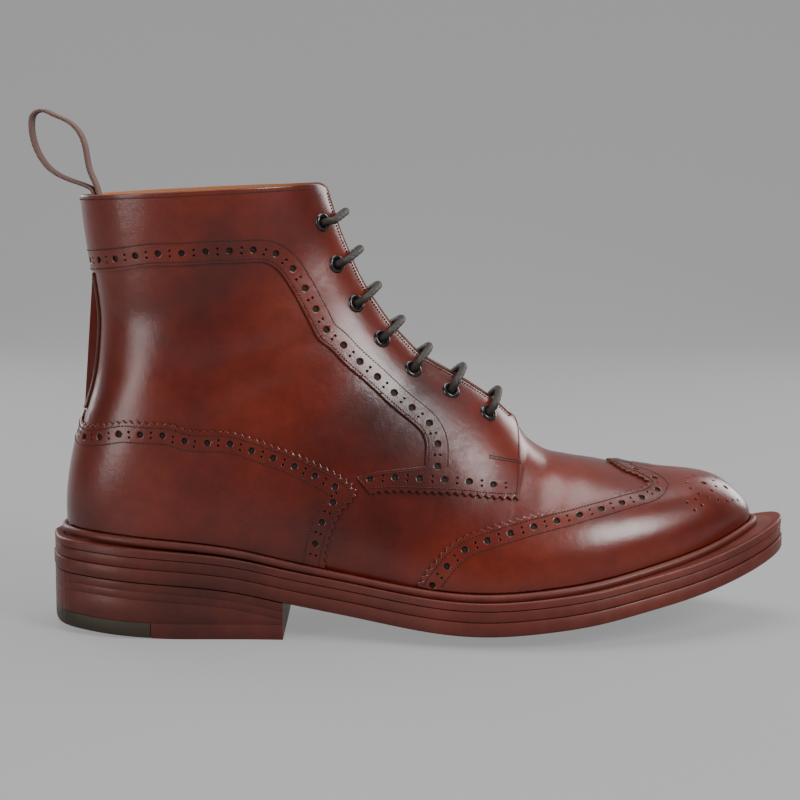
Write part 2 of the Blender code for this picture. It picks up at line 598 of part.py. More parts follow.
def panel_surface(loop, sides, depth=None):
    """Open surface inside a loop of places and shares, creased where the upper is.

    depth gives how far below the last it lies at a place, where it isn't on it.
    """
    stretch = np.array((PANEL_LENGTH, PANEL_HEIGHT))
    loop = np.array(loop) * stretch
    grid = [(place * stretch[0], share * stretch[1]) for place in ROWS for share in SHARES]
    corners = [Vector(point) for point in grid + list(loop)]
    first = len(grid)
    edges = grid_edges(len(SHARES))
    edges += [(first + k, first + (k + 1) % len(loop)) for k in range(len(loop))]
    found = delaunay_2d_cdt(corners, edges, [], 0, PANEL_MERGE)
    flat = [(v.x, on_seam(v.y)) for v in found[0]]
    triangles = []
    for face in found[2]:
        middle = np.mean([flat[k] for k in face], axis=0)
        if inside_loop(loop, middle):
            triangles.append(tuple(face))
    used = sorted({k for face in triangles for k in face})
    order = {k: n for n, k in enumerate(used)}
    points, normals, faces = [], [], []
    for side in sides:
        start = len(points)
        for k in used:
            place = flat[k][0] / stretch[0]
            point, normal = on_facets(side, place, flat[k][1] / stretch[1])
            if depth:
                point = point - normal * depth(place)
            points.append(point)
            normals.append(normal)
        faces += [tuple(order[k] + start for k in face) for face in triangles]
    return weld(points, normals, faces)


def on_seam(height):
    """Flat height of a panel's corner, moved onto the ridge or back line if it lies beside one."""
    if height > PANEL_HEIGHT - PANEL_MERGE:
        return PANEL_HEIGHT
    return 0.0 if height < PANEL_MERGE else height


def inside_loop(loop, point):
    """Whether a flat point lies inside a loop."""
    x, y = point
    inside = False
    for k in range(len(loop)):
        (ax, ay), (bx, by) = loop[k - 1], loop[k]
        if (ay > y) != (by > y) and x < ax + (y - ay) / (by - ay) * (bx - ax):
            inside = not inside
    return inside


def overlay(name, loop, sides):
    """Leather overlay on the upper, in the shape of a loop of places and shares."""
    points, normals, faces = panel_surface(loop, sides)
    shell, solid = thicken(points, normals, faces, CLEARANCE, CLEARANCE + OVERLAY_THICKNESS)
    return new_object(name, shell, solid, (0.33, 0.05, 0.022), 0.3)


OVERLAY_FOOT = WELT_TOP + RIB_HEIGHT - SEAT_LEVEL + RIB_GAP


def toe_cap():
    """Winged toe cap, down to the storm rib."""
    edge = outline(CAP_EDGE)
    toe, _ = level_ends(OVERLAY_FOOT)
    foot = level_line(OVERLAY_FOOT, edge[-1][0], toe, FOOT_POINTS)
    peak = float(np.interp(-CAP_PEAK * LAST_LENGTH, -FINE_X[:, -1], FINE_ROWS))
    loop = [(peak, 1.0)] + edge + foot[1:-1] + [(toe, 1.0)]
    return overlay("toe_cap", loop, SIDES.values())


def heel_counter():
    """Outside counter round the heel, down to the storm rib."""
    edge = outline(COUNTER_EDGE)
    _, heel = level_ends(OVERLAY_FOOT)
    foot = level_line(OVERLAY_FOOT, edge[-1][0], heel, FOOT_POINTS)
    top = find_on_back(COUNTER_TOP)
    loop = [(top, 0.0)] + edge + foot[1:-1] + [(heel, 0.0)]
    return overlay("heel_counter", loop, SIDES.values())


def find_on_back(up):
    """Place where the back line has this share of the upper's full height."""
    closed = FINE_ROWS >= HEEL_AT
    return float(np.interp(up * (INSTEP_HEIGHT + SHAFT_RISE), FINE_UP[closed, 0], FINE_ROWS[closed]))


def sole_loop():
    """Lateral and medial edges of the outsole: x and y from heel back to toe tip."""
    sides = {}
    places = np.linspace(HEEL_AT, 0, 160)
    for side in (-1, 1):
        line = last_points(places, np.full(len(places), float(side)))[:, :2]
        way = np.gradient(line, axis=0)
        way[0] = (0, side)
        way[-1] = (0, -side)
        way = way / np.linalg.norm(way, axis=1)[:, None]
        outward = np.column_stack((-way[:, 1], way[:, 0])) * side
        share = (line[:, 0] - line[0, 0]) / (line[-1, 0] - line[0, 0])
        margin = TOE_MARGIN * spline(MARGIN_AT, MARGINS, share)[:, 0]
        sides[side] = line + outward * margin[:, None]
    return sides


SOLE_EDGES = sole_loop()
SOLE_BACK = SOLE_EDGES[1][0, 0]
SOLE_FRONT = SOLE_EDGES[1][-1, 0]


def edge_y(x, side, inset=0.0):
    """Edge of the sole at x on one side, with the loop drawn in by inset."""
    edge = SOLE_EDGES[side]
    middle = edge[:, 0].mean()
    reach = (SOLE_FRONT - SOLE_BACK) / 2
    stretched = middle_x() + (x - middle_x()) * reach / (reach - inset)
    y = np.interp(stretched, edge[:, 0], edge[:, 1])
    ends = np.interp(x, (SOLE_BACK, SOLE_FRONT), (edge[0, 1], edge[-1, 1]))
    width = np.abs(y - ends)
    share = np.where(width > inset, (width - inset) / np.maximum(width, 1e-9), 0)
    return ends + (y - ends) * share


def middle_x():
    """Middle of the sole's length."""
    return (SOLE_BACK + SOLE_FRONT) / 2


def bed(x, y, level):
    """Height of a level of the sole at x and y."""
    x = np.atleast_1d(np.asarray(x, dtype=float))
    y = np.atleast_1d(np.asarray(y, dtype=float))
    curves = spline(SOLE_X, SOLE_CURVES, x)
    left, right = edge_y(x, -1), edge_y(x, 1)
    half = np.maximum((right - left) / 2, MIN_HALF_WIDTH)
    out = np.minimum(np.abs(y - (left + right) / 2) / half, 1)
    height = curves[:, 0] + curves[:, 1] * out ** 2 + level
    return height if len(height) > 1 else float(height[0])


def stations(back, front, count):
    """Values of x from back to front, closer together at both ends."""
    share = np.linspace(0, 1, count + 1)
    return back + (front - back) * (share / 2 + (1 - np.cos(math.pi * share)) / 4)


def layer(xs, inset, under, over):
    """Solid between two surfaces, inside the sole's edge, at these stations."""
    points, faces = [], []
    width = len(ACROSS)
    for x in xs:
        left, right = edge_y(x, -1, inset), edge_y(x, 1, inset)
        ys = (left + right) / 2 + (right - left) / 2 * np.array(ACROSS)
        for surface in (under, over):
            heights = surface(np.full(width, x), ys)
            points += list(zip(np.full(width, x), ys, heights))
    row = 2 * width
    for i in range(len(xs) - 1):
        a = i * row
        for j in range(width - 1):
            faces.append((a + j, a + j + 1, a + row + j + 1, a + row + j))
            k = a + width + j
            faces.append((k, k + row, k + row + 1, k + 1))
        faces.append((a, a + row, a + row + width, a + width))
        last = a + width - 1
        faces.append((last, last + width, last + row + width, last + row))
    for a, turn in ((0, False), ((len(xs) - 1) * row, True)):
        for j in range(width - 1):
            face = (a + j, a + width + j, a + width + j + 1, a + j + 1)
            faces.append(tuple(reversed(face)) if turn else face)
    return points, faces


def tread(x, y):
    """Underside of the outsole, with its flat spot under the ball."""
    return np.maximum(bed(x, y, 0) - FLAT_SPOT_DEPTH, 0)


def level(height):
    """Surface at one level of the sole."""
    return lambda x, y: bed(x, y, height)


def outsole():
    """Leather outsole with a convex forefoot."""
    xs = stations(SOLE_BACK, SOLE_FRONT, SOLE_STATIONS)
    points, faces = layer(xs, 0, tread, level(OUTSOLE_THICKNESS))
    return new_object("outsole", points, faces, (0.16, 0.035, 0.02), 0.4)


def midsole():
    """Second layer of the sole."""
    xs = stations(SOLE_BACK + MIDSOLE_INSET, SOLE_FRONT - MIDSOLE_INSET, SOLE_STATIONS)
    points, faces = layer(xs, MIDSOLE_INSET, level(MIDSOLE_LEVEL), level(MIDSOLE_TOP))
    return new_object("midsole", points, faces, (0.17, 0.037, 0.02), 0.4)


def heel_floor(x):
    """Underside of the heel: flat at the front, gently rising to the back."""
    flat_from = heel_front() - HEEL_REST_LENGTH
    share = np.clip((flat_from - x) / (flat_from - SOLE_BACK), 0, None)
    return HEEL_BACK_LIFT * share ** 1.5


def heel_front():
    """Where the heel ends, under the waist."""
    return SOLE_BACK + HEEL_LENGTH


def heel_stations(front):
    """Stations from the back of the heel to a straight front."""
    turn = np.linspace(0, math.pi / 2, HEEL_STATIONS + 1)
    return SOLE_BACK + HEEL_INSET + (front - SOLE_BACK - HEEL_INSET) * (1 - np.cos(turn))


def heel_layer(name, xs, under, over, colour):
    """One layer of the heel, from a level below the sole to another, in metres."""
    points, faces = layer(xs, HEEL_INSET, under, over)
    return new_object(name, points, faces, colour, 0.4)


def heel():
    """Three lifts, the leather top piece and its rubber rear part."""
    xs = heel_stations(heel_front())
    top = -FLAT_SPOT_DEPTH - CLEARANCE
    second = top - LIFT_THICKNESS
    third = second - CLEARANCE - LIFT_THICKNESS
    wedge = third - CLEARANCE

    def piece_top(x, y):
        return heel_floor(x) + TOP_PIECE_THICKNESS

    def wedge_floor(x, y):
        return piece_top(x, y) + CLEARANCE

    colour = (0.15, 0.035, 0.02)
    heel_layer("heel_lift_1", xs, level(second), level(top), colour)
    heel_layer("heel_lift_2", xs, level(third), level(second - CLEARANCE), colour)
    heel_layer("heel_lift_3", xs, wedge_floor, level(wedge), colour)
    joint = SOLE_BACK + TIP_LENGTH
    front_xs = np.linspace(joint + CLEARANCE, heel_front(), HEEL_STATIONS)
    front_xs = np.sort(np.append(front_xs, heel_front() - HEEL_REST_LENGTH))
    heel_layer("heel_top_piece", front_xs, lambda x, y: heel_floor(x), piece_top, colour)
    heel_layer("heel_rubber_tip", heel_stations(joint), lambda x, y: heel_floor(x), piece_top,
               (0.03, 0.022, 0.015))


def ring_line(up, outward, count):
    """Loop round the upper at one height above the feather line, from the toe round the inner side."""
    toe, heel = level_ends(up) if up > 0 else (0.0, HEEL_AT)
    turn = (1 - np.cos(np.linspace(0, math.pi, count + 1))) / 2
    sides = []
    for side in (1, -1):
        if up > 0:
            line = [level_point(up, toe + (heel - toe) * part) for part in turn]
        else:
            line = [(HEEL_AT * part, 0.0) for part in turn]
        line[0] = (line[0][0], 1.0) if up > 0 else line[0]
        line[-1] = (line[-1][0], 0.0)
        found = [on_facets(side, place, share) for place, share in line]
        sides.append(np.array([point + flat_way(normal) * outward for point, normal in found]))
    loop = np.concatenate((sides[0], sides[1][-2:0:-1]))
    loop[:, 2] = seat(loop[:, 0]) + up
    return loop


def level_point(up, place):
    """Place and share at one height above the feather line."""
    return level_line(up, place, place, 1)[0]


def flat_way(normal):
    """Horizontal unit direction of a normal."""
    flat = np.array((normal[0], normal[1], 0.0))
    return flat / max(np.linalg.norm(flat), 1e-9)


def welt():
    """Storm welt all round: a flat strip with a raised rib against the upper."""
    count = RING_STATIONS
    foot = ring_line(0, WELT_GAP, count)
    bend = ring_line(WELT_THICKNESS, WELT_GAP, count)
    rib_foot = ring_line(WELT_THICKNESS, WELT_GAP + RIB_FOOT_WIDTH, count)
    rib_in = ring_line(WELT_THICKNESS + RIB_HEIGHT, WELT_GAP, count)
    rib_out = ring_line(WELT_THICKNESS + RIB_HEIGHT, WELT_GAP + RIB_TOP_WIDTH, count)
    total = len(foot)
    outer = welt_edge(foot)
    rings = []
    for ring, height in ((foot, SEAT_LEVEL), (outer, SEAT_LEVEL), (outer, WELT_TOP),
                         (rib_foot, WELT_TOP), (rib_out, None), (rib_in, None), (bend, None)):
        placed = ring.copy()
        if height is not None:
            placed[:, 2] = bed(ring[:, 0], ring[:, 1], height)
        rings.append(placed)
    points = np.concatenate(rings)
    faces = []
    for k in range(len(rings)):
        for i in range(total):
            a, b = k * total + i, k * total + (i + 1) % total
            c, d = (k + 1) % len(rings) * total + (i + 1) % total, (k + 1) % len(rings) * total + i
            faces.append((a, b, c, d))
    return new_object("welt", points, faces, (0.19, 0.04, 0.022), 0.4)


def welt_edge(foot):
    """Outer edge of the welt beside each point of the feather ring."""
    result = []
    line = {side: SOLE_EDGES[side] for side in (-1, 1)}
    for point in foot:
        side = 1 if point[1] >= ring_middle(point[0]) else -1
        edge = line[side]
        k = np.linalg.norm(edge - point[:2], axis=1).argmin()
        way = (edge[k] - point[:2]) / np.linalg.norm(edge[k] - point[:2])
        result.append(np.append(edge[k] - way * WELT_INSET, 0.0))
    return np.array(result)


def ring_middle(x):
    """Middle of the sole across at x."""
    return float((edge_y(x, -1) + edge_y(x, 1)) / 2)


def insole():
    """Insole on the midsole, inside the upper's wall."""
    inset = INSOLE_GAP + UPPER_WALL
    points, faces = [], []
    shares = (np.array(ACROSS[::2]) + 1) / 2
    width = len(shares)
    places = np.linspace(INSOLE_FROM, HEEL_AT - INSOLE_TO, INSOLE_STATIONS)
    edges = []
    for side in (-1, 1):
        line = last_points(places, np.full(len(places), float(side)))[:, :2]
        way = np.gradient(line, axis=0)
        way = way / np.linalg.norm(way, axis=1)[:, None]
        edges.append(line + np.column_stack((-way[:, 1], way[:, 0])) * side * inset)
    for a, b in zip(*edges):
        for height in (SEAT_LEVEL, SEAT_LEVEL + INSOLE_THICKNESS):
            for share in shares:
                spot = a + (b - a) * share
                points.append((spot[0], spot[1], bed(spot[0], spot[1], height)))
    row = 2 * width
    for i in range(len(places) - 1):
        a = i * row
        for j in range(width - 1):
            faces.append((a + j, a + row + j, a + row + j + 1, a + j + 1))
            k = a + width + j
            faces.append((k, k + 1, k + row + 1, k + row))
        faces.append((a, a + width, a + row + width, a + row))
        last = a + width - 1
        faces.append((last, last + row, last + row + width, last + width))
    for a, turn in ((0, True), ((len(places) - 1) * row, False)):
        for j in range(width - 1):
            face = (a + j, a + width + j, a + width + j + 1, a + j + 1)
            faces.append(tuple(reversed(face)) if turn else face)
    return new_object("insole", points, faces, (0.42, 0.26, 0.13), 0.7)


def facing(name, side):
    """Collar band, eyelet facing, front tab and lower band of one side, in one piece."""
    places = list(np.linspace(FACING_FROM, CORNER_AT, 14)[:-1]) + CORNER_PLACES
    throat = [(place, throat_share(place) - FACING_SETBACK) for place in places]
    throat.reverse()
    seam = share_from_back(1.0, 2 * CLEARANCE)
    loop = [(1.0, seam)] + throat + outline(FACING_TAB + FACING_BAND + FACING_INNER)
    loop.append((find_on_back(FACING_BACK), seam))
    return overlay(name, loop, [side])


def back_strap():
    """Strip over the back seam between the counter and the collar band."""
    low = find_on_back(COUNTER_TOP + STRAP_END_GAP)
    high = find_on_back(FACING_BACK - STRAP_END_GAP)
    edge = [(place, share_from_back(place, BACK_STRAP_WIDTH / 2)) for place in np.linspace(low, high, 6)]
    loop = [(low, 0.0)] + edge + [(high, 0.0)]
    return overlay("back_strap", loop, SIDES.values())


def tongue_depth(place):
    """Depth of the tongue's outside: against the upper at its foot, under the lace above."""
    near = UPPER_WALL + CLEARANCE
    far = UPPER_WALL + LACE_DIAMETER + 4 * LACE_SPACE
    ease = min(max((place - TONGUE_FROM) / (FACING_FROM - TONGUE_FROM), 0), 1)
    return near + (far - near) * ease * ease * (3 - 2 * ease)


def tongue():
    """Tongue behind the throat, parallel to the upper's inside."""
    side = [(place, share_from_ridge(place, TONGUE_WIDTH / 2))
            for place in np.linspace(TONGUE_FROM, TONGUE_TO, 12)]
    loop = [(TONGUE_FROM, 1.0)] + side + [(TONGUE_TO, 1.0)]
    points, normals, faces = panel_surface(loop, SIDES.values(), tongue_depth)
    shell, solid = thicken(points, normals, faces, -TONGUE_THICKNESS, 0)
    return new_object("tongue", shell, solid, (0.24, 0.05, 0.025), 0.5)


def flange_seat(side, place, share):
    """Plane that a flange rests in over the facing: outward direction and height above the last."""
    middle = on_facets(side, place, share)[0]
    spots, tops = [], []
    for i in np.linspace(-0.02, 0.02, 13):
        for j in np.linspace(-0.06, 0.06, 13):
            spot, normal = on_facets(side, place + i, share + j)
            if np.linalg.norm(spot - middle) < EYELET_DIAMETER / 2 + CLEARANCE:
                spots.append(spot)
                tops.append(spot + normal * (CLEARANCE + OVERLAY_THICKNESS))
    way = np.linalg.svd(np.array(spots) - np.mean(spots, axis=0))[2][2]
    way = way * np.sign(np.dot(way, tops[0] - spots[0]))
    return way, float(np.max((np.array(tops) - middle) @ way)) + CLEARANCE


def eyelet_line(side):
    """Point, outward direction, place and seat of each eyelet on a side, from the collar down."""
    places = np.linspace(1, THROAT_AT, 200)
    line = []
    for place in places:
        share = share_from_ridge(place, THROAT_GAP / 2 + EYELET_EDGE)
        line.append(on_facets(side, place, share)[0])
    run = np.concatenate(([0], np.cumsum(np.linalg.norm(np.diff(line, axis=0), axis=1))))
    found = []
    for k in range(EYELET_COUNT):
        i = int(np.searchsorted(run, EYELET_TOP + k * EYELET_PITCH))
        share = share_from_ridge(places[i], THROAT_GAP / 2 + EYELET_EDGE)
        normal, seat = flange_seat(side, places[i], share)
        found.append((line[i], normal, places[i], seat))
    return found


def frame_of(normal, along):
    """Two unit directions square to a normal, the first nearest to along."""
    first = along - normal * np.dot(along, normal)
    first = first / np.linalg.norm(first)
    return first, np.cross(normal, first)


def turned(name, point, normal, profile, sides, colour, roughness, metallic):
    """Closed ring turned about a normal: profile holds radius and height above the point."""
    first, second = frame_of(normal, np.array((1.0, 0.0, 0.0)))
    points, faces = [], []
    for k in range(sides):
        angle = 2 * math.pi * k / sides
        way = first * math.cos(angle) + second * math.sin(angle)
        points += [point + way * radius + normal * height for radius, height in profile]
    count = len(profile)
    for k in range(sides):
        after = (k + 1) % sides
        for j in range(count):
            faces.append((k * count + j, after * count + j,
                          after * count + (j + 1) % count, k * count + (j + 1) % count))
    return new_object(name, points, faces, colour, roughness, metallic)


def eyelets():
    """Seven enamelled eyelets a side, each through facing and upper."""
    inner = -UPPER_WALL
    bore = EYELET_BORE / 2
    barrel = bore + EYELET_BARREL_WALL
    flange = EYELET_DIAMETER / 2
    for side_name, side in SIDES.items():
        for k, (point, normal, _, top) in enumerate(eyelet_line(side)):
            profile = ((bore, top + EYELET_FLANGE), (bore, inner), (barrel, inner), (barrel, top),
                       (flange, top), (flange - EYELET_FLANGE, top + EYELET_FLANGE))
            turned(f"eyelet_{side_name}_{k + 1}", point, normal, profile, EYELET_SIDES,
                   (0.02, 0.018, 0.018), 0.25, 0.6)


def punch_eyelet_holes(*items):
    """Cuts the eyelets' holes through the upper and the facings."""
    radius = EYELET_BORE / 2 + EYELET_BARREL_WALL + CLEARANCE
    reach = UPPER_WALL + CLEARANCE + OVERLAY_THICKNESS + EYELET_DIAMETER / 2
    for side_name, side in SIDES.items():
        for point, normal, _, _ in eyelet_line(side):
            first, _ = frame_of(normal, np.array((1.0, 0.0, 0.0)))
            cutter = tube("cutter", [point - normal * reach, point + normal * reach],
                          2 * radius, EYELET_SIDES, first)
            for item in items:
                if item.name.endswith(side_name) or item.name == "upper":
                    cut(item, cutter)
            bpy.data.objects.remove(cutter, do_unlink=True)


def cut(item, cutter, operation="DIFFERENCE"):
    """Applies a Boolean to an object."""
    change = item.modifiers.new("cut", "BOOLEAN")
    change.operation = operation
    change.object = cutter
    graph = bpy.context.evaluated_depsgraph_get()
    mesh = bpy.data.meshes.new_from_object(item.evaluated_get(graph))
    item.modifiers.clear()
    item.data = mesh


def tube(name, route, diameter, sides, first=(0.6, 0.8, 0.0)):
    """Closed round tube along a route of points, its first corner nearest to first."""
    route = np.array(route)
    ways = np.gradient(route, axis=0)
    ways = ways / np.linalg.norm(ways, axis=1)[:, None]
    points, faces = [], []
    for k, (spot, way) in enumerate(zip(route, ways)):
        first = first - way * np.dot(first, way)
        first = first / np.linalg.norm(first)
        second = np.cross(way, first)
        for n in range(sides):
            angle = 2 * math.pi * n / sides
            points.append(spot + (first * math.cos(angle) + second * math.sin(angle)) * diameter / 2)
    for k in range(len(route) - 1):
        for n in range(sides):
            a, b = k * sides + n, k * sides + (n + 1) % sides
            faces.append((a, b, b + sides, a + sides))
    faces.append(tuple(range(sides - 1, -1, -1)))
    last = (len(route) - 1) * sides
    faces.append(tuple(range(last, last + sides)))
    return new_object(name, points, faces, (0.045, 0.03, 0.02), 0.7)


LACE_INSIDE = -(UPPER_WALL + LACE_SPACE + LACE_DIAMETER / 2)
LACE_OUTSIDE = LACE_RISE[-1][1] * LACE_DIAMETER


def over_last(start, end, height, count):
    """Points from one place and distance from the ridge to another, at a height over the last."""
    route = []
    for part in np.linspace(0, 1, count + 2)[1:-1]:
        place = start[0] + (end[0] - start[0]) * part
        across = start[1] + (end[1] - start[1]) * part
        side = -1 if across < 0 else 1
        point, normal = on_facets(side, place, share_from_ridge(place, abs(across)))
        route.append(point + normal / np.linalg.norm(normal) * height)
    return route


def lace_end(eyelet, towards):
    """Points through one eyelet from the inside out, turning towards the throat."""
    point, normal, _, _ = eyelet
    way, _ = frame_of(normal, towards)
    return [point + normal * height * LACE_DIAMETER + way * step * LACE_DIAMETER
            for step, height in LACE_RISE]


def lace():
    """One lace: seven bars over the throat, joined by slanting runs behind the facings.

    Its first end runs up behind the outer facing and its last end goes in at the
    top inner eyelet, so that both stop at the top.
    """
    outer, inner = eyelet_line(-1), eyelet_line(1)
    reach = THROAT_GAP / 2 + EYELET_EDGE
    top, foot = outer[0][2], outer[-1][2]
    route = over_last((top, -LACE_RUN), (foot + LACE_TURN, -LACE_RUN), LACE_INSIDE, 14)
    route += over_last((foot + LACE_TURN, -LACE_RUN), (foot, -reach), LACE_INSIDE, 1)
    for k in reversed(range(EYELET_COUNT)):
        across = inner[k][0] - outer[k][0]
        route += lace_end(outer[k], across)
        route += over_last((outer[k][2], -reach + 1.5 * LACE_DIAMETER),
                           (inner[k][2], reach - 1.5 * LACE_DIAMETER), LACE_OUTSIDE, 3)
        route += reversed(lace_end(inner[k], -across))
        if k:
            route += over_last((inner[k][2], reach), (outer[k - 1][2], -reach), LACE_INSIDE, 4)
    return tube("lace", route, LACE_DIAMETER, LACE_SIDES)


def pull_loop():
    """Webbing loop, both ends inside the back of the collar."""
    back = on_facets(-1, 1.0, 0.0)[0]
    inside = UPPER_WALL + LOOP_SPACE + LOOP_THICKNESS / 2
    run = np.array([(x * LOOP_HEIGHT, z * LOOP_HEIGHT, turn) for x, z, turn in LOOP_ROUTE])
    steps = np.linalg.norm(np.diff(run[:, :2], axis=0), axis=1)
    places = np.concatenate(([0], np.cumsum(steps)))
    line = spline(places, run, np.linspace(0, places[-1], LOOP_POINTS))
    points, faces = [], []
    ways = np.gradient(line[:, :2], axis=0)
    ways = ways / np.linalg.norm(ways, axis=1)[:, None]
    for (x, z, turn), (dx, dz) in zip(line, ways):
        middle = back + np.array((x + inside, 0.0, z))
        out = np.array((-dz, 0.0, dx))
        flat = np.array((0.0, math.cos(turn), 0.0)) + np.array((dx, 0.0, dz)) * math.sin(turn)
        for u, v in ((-1, -1), (1, -1), (1, 1), (-1, 1)):
            points.append(middle + flat * u * LOOP_WIDTH / 2 + out * v * LOOP_THICKNESS / 2)
    for k in range(len(line) - 1):
        for n in range(4):
            a, b = 4 * k + n, 4 * k + (n + 1) % 4
            faces.append((a, b, b + 4, a + 4))
    faces.append((3, 2, 1, 0))
    last = 4 * (len(line) - 1)
    faces.append((last, last + 1, last + 2, last + 3))
    return new_object("pull_loop", points, faces, (0.13, 0.075, 0.05), 0.8)


def clear_scene():
    """Removes what a new file holds."""
    for item in list(bpy.data.objects):
        bpy.data.objects.remove(item, do_unlink=True)


def stand_at_origin():
    """Moves all pieces so that the whole stands on z = 0 with its middle over the origin."""
    corners = []
    for item in bpy.context.scene.objects:
        flat = np.empty(len(item.data.vertices) * 3, dtype=np.float32)
        item.data.vertices.foreach_get("co", flat)
        corners.append(flat.reshape(-1, 3))
    corners = np.concatenate(corners)
    low, high = corners.min(axis=0), corners.max(axis=0)
    shift = np.array((-(low[0] + high[0]) / 2, -(low[1] + high[1]) / 2, 0.0))
    for item in bpy.context.scene.objects:
        for vertex in item.data.vertices:
            vertex.co = vertex.co + Vector(shift)


def build():
    clear_scene()
    outsole()
    midsole()
    heel()
    insole()
    shell = upper()
    welt()
    toe_cap()
    heel_counter()
    facings = [facing(f"facing_{name}", side) for name, side in SIDES.items()]
    punch_eyelet_holes(shell, *facings)
    back_strap()
    tongue()
    eyelets()
    lace()
    pull_loop()
    stand_at_origin()


build()
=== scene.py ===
import math

import bpy
import numpy as np
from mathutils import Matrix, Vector
from mathutils.geometry import delaunay_2d_cdt


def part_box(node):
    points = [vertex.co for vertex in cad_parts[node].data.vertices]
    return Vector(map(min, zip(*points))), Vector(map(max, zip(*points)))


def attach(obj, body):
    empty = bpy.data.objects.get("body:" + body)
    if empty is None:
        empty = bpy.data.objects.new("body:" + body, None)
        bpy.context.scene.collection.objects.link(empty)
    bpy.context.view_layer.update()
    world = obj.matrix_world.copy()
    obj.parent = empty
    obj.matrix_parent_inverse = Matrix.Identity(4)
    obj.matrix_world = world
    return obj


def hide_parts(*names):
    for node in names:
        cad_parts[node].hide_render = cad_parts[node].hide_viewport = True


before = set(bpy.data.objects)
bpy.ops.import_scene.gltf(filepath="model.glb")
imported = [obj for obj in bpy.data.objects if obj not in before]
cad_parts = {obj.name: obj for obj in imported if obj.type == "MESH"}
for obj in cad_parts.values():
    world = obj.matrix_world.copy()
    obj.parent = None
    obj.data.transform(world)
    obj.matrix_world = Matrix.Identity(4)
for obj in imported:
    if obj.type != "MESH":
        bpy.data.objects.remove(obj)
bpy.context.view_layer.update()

# Right ankle boot with punched overlays, seen from its outer side. The leather
# surfaces come from the same sections as the solid model, at a finer step.
# Lengths are in metres.

LAST_LENGTH = 0.300        # heel back to toe tip, along the feather line
BALL_WIDTH = 0.092         # widest width of the upper, at the ball
INSTEP_HEIGHT = 0.065      # ridge above the feather line where the throat begins
SHAFT_RISE = 0.103         # collar front above that point
HEEL_HEIGHT = 0.0278       # underside of the outsole above the floor at the back
TOE_SPRING = 0.0335        # underside of the outsole above the floor at the toe tip
TOE_MARGIN = 0.0150        # outsole edge before the toe of the upper
TREAD_CROWN = 0.0065       # how far the forefoot's edges lift above its middle
UPPER_WALL = 0.0020

# Sole layers and heel
CLEARANCE = 0.0003         # gap between pieces that meet
LACE_SPACE = 0.0008         # on either side of the lace, behind the facings
LOOP_SPACE = 0.0020         # between the pull loop's ends and the collar's inside
OUTSOLE_THICKNESS = 0.0050
MIDSOLE_THICKNESS = 0.0043
WELT_THICKNESS = 0.0034
INSOLE_THICKNESS = 0.0025
RIB_HEIGHT = 0.0040        # storm rib above the welt
HEEL_LENGTH = 0.1022       # back of the outsole to the heel's straight front
TOP_PIECE_THICKNESS = 0.0066
LIFT_THICKNESS = 0.0032
TIP_LENGTH = 0.0460        # rubber rear part of the top piece
HEEL_REST_LENGTH = 0.0420  # flat part of the top piece, from the front back
HEEL_BACK_LIFT = 0.0035    # how far the worn back edge clears the floor
FLAT_SPOT_DEPTH = 0.0010   # depth of the flat under the ball

# Overlays and trim
OVERLAY_THICKNESS = 0.0010
BACK_STRAP_WIDTH = 0.0160
TONGUE_THICKNESS = 0.0018
TONGUE_WIDTH = 0.064
TONGUE_FROM = 0.325        # places on the last where the tongue begins and ends
TONGUE_TO = 0.985
THROAT_GAP = 0.0140        # between the two facing edges
EYELET_COUNT = 7           # on each side
EYELET_PITCH = 0.0188
EYELET_EDGE = 0.0105       # from the facing's edge to the eyelets' middles
EYELET_TOP = 0.0165        # from the collar to the first eyelet
EYELET_DIAMETER = 0.0080
EYELET_BORE = 0.0046
LACE_DIAMETER = 0.0034
LACE_RUN = 0.0235          # from the ridge to the run behind the outer facing
LOOP_WIDTH = 0.0105
LOOP_THICKNESS = 0.0013
LOOP_HEIGHT = 0.0340       # reach of the loop above the collar's back

THROAT_AT = 0.372          # place on the last where the throat begins
THROAT_ROUND = 0.030       # stretch of places over which it opens to its full width
COLLAR_CORNER = 0.011      # radius of the collar's front corners
FACING_FROM = 0.405        # place on the last where the facing's straight edge begins
FACING_SETBACK = 0.002     # share by which the facing lies behind the upper's edge
FACING_BACK = 0.700        # foot of the collar band at the back, share of the full height
STRAP_END_GAP = 0.006      # share of the full height between the strap and its neighbours
CAP_PEAK = 0.786           # toe cap's point on the ridge, as a share of the last's length
COUNTER_TOP = 0.335        # counter's top at the back, as a share of the full height
INSOLE_GAP = 0.0016
MIDSOLE_INSET = 0.0005
WELT_INSET = 0.0005
HEEL_INSET = 0.0004

# Mesh fineness
MIN_HALF_WIDTH = 0.004
PANEL_LENGTH = 1.2 * LAST_LENGTH   # stretch of places, so that panels' triangles are even
PANEL_HEIGHT = 0.4 * LAST_LENGTH   # stretch of shares

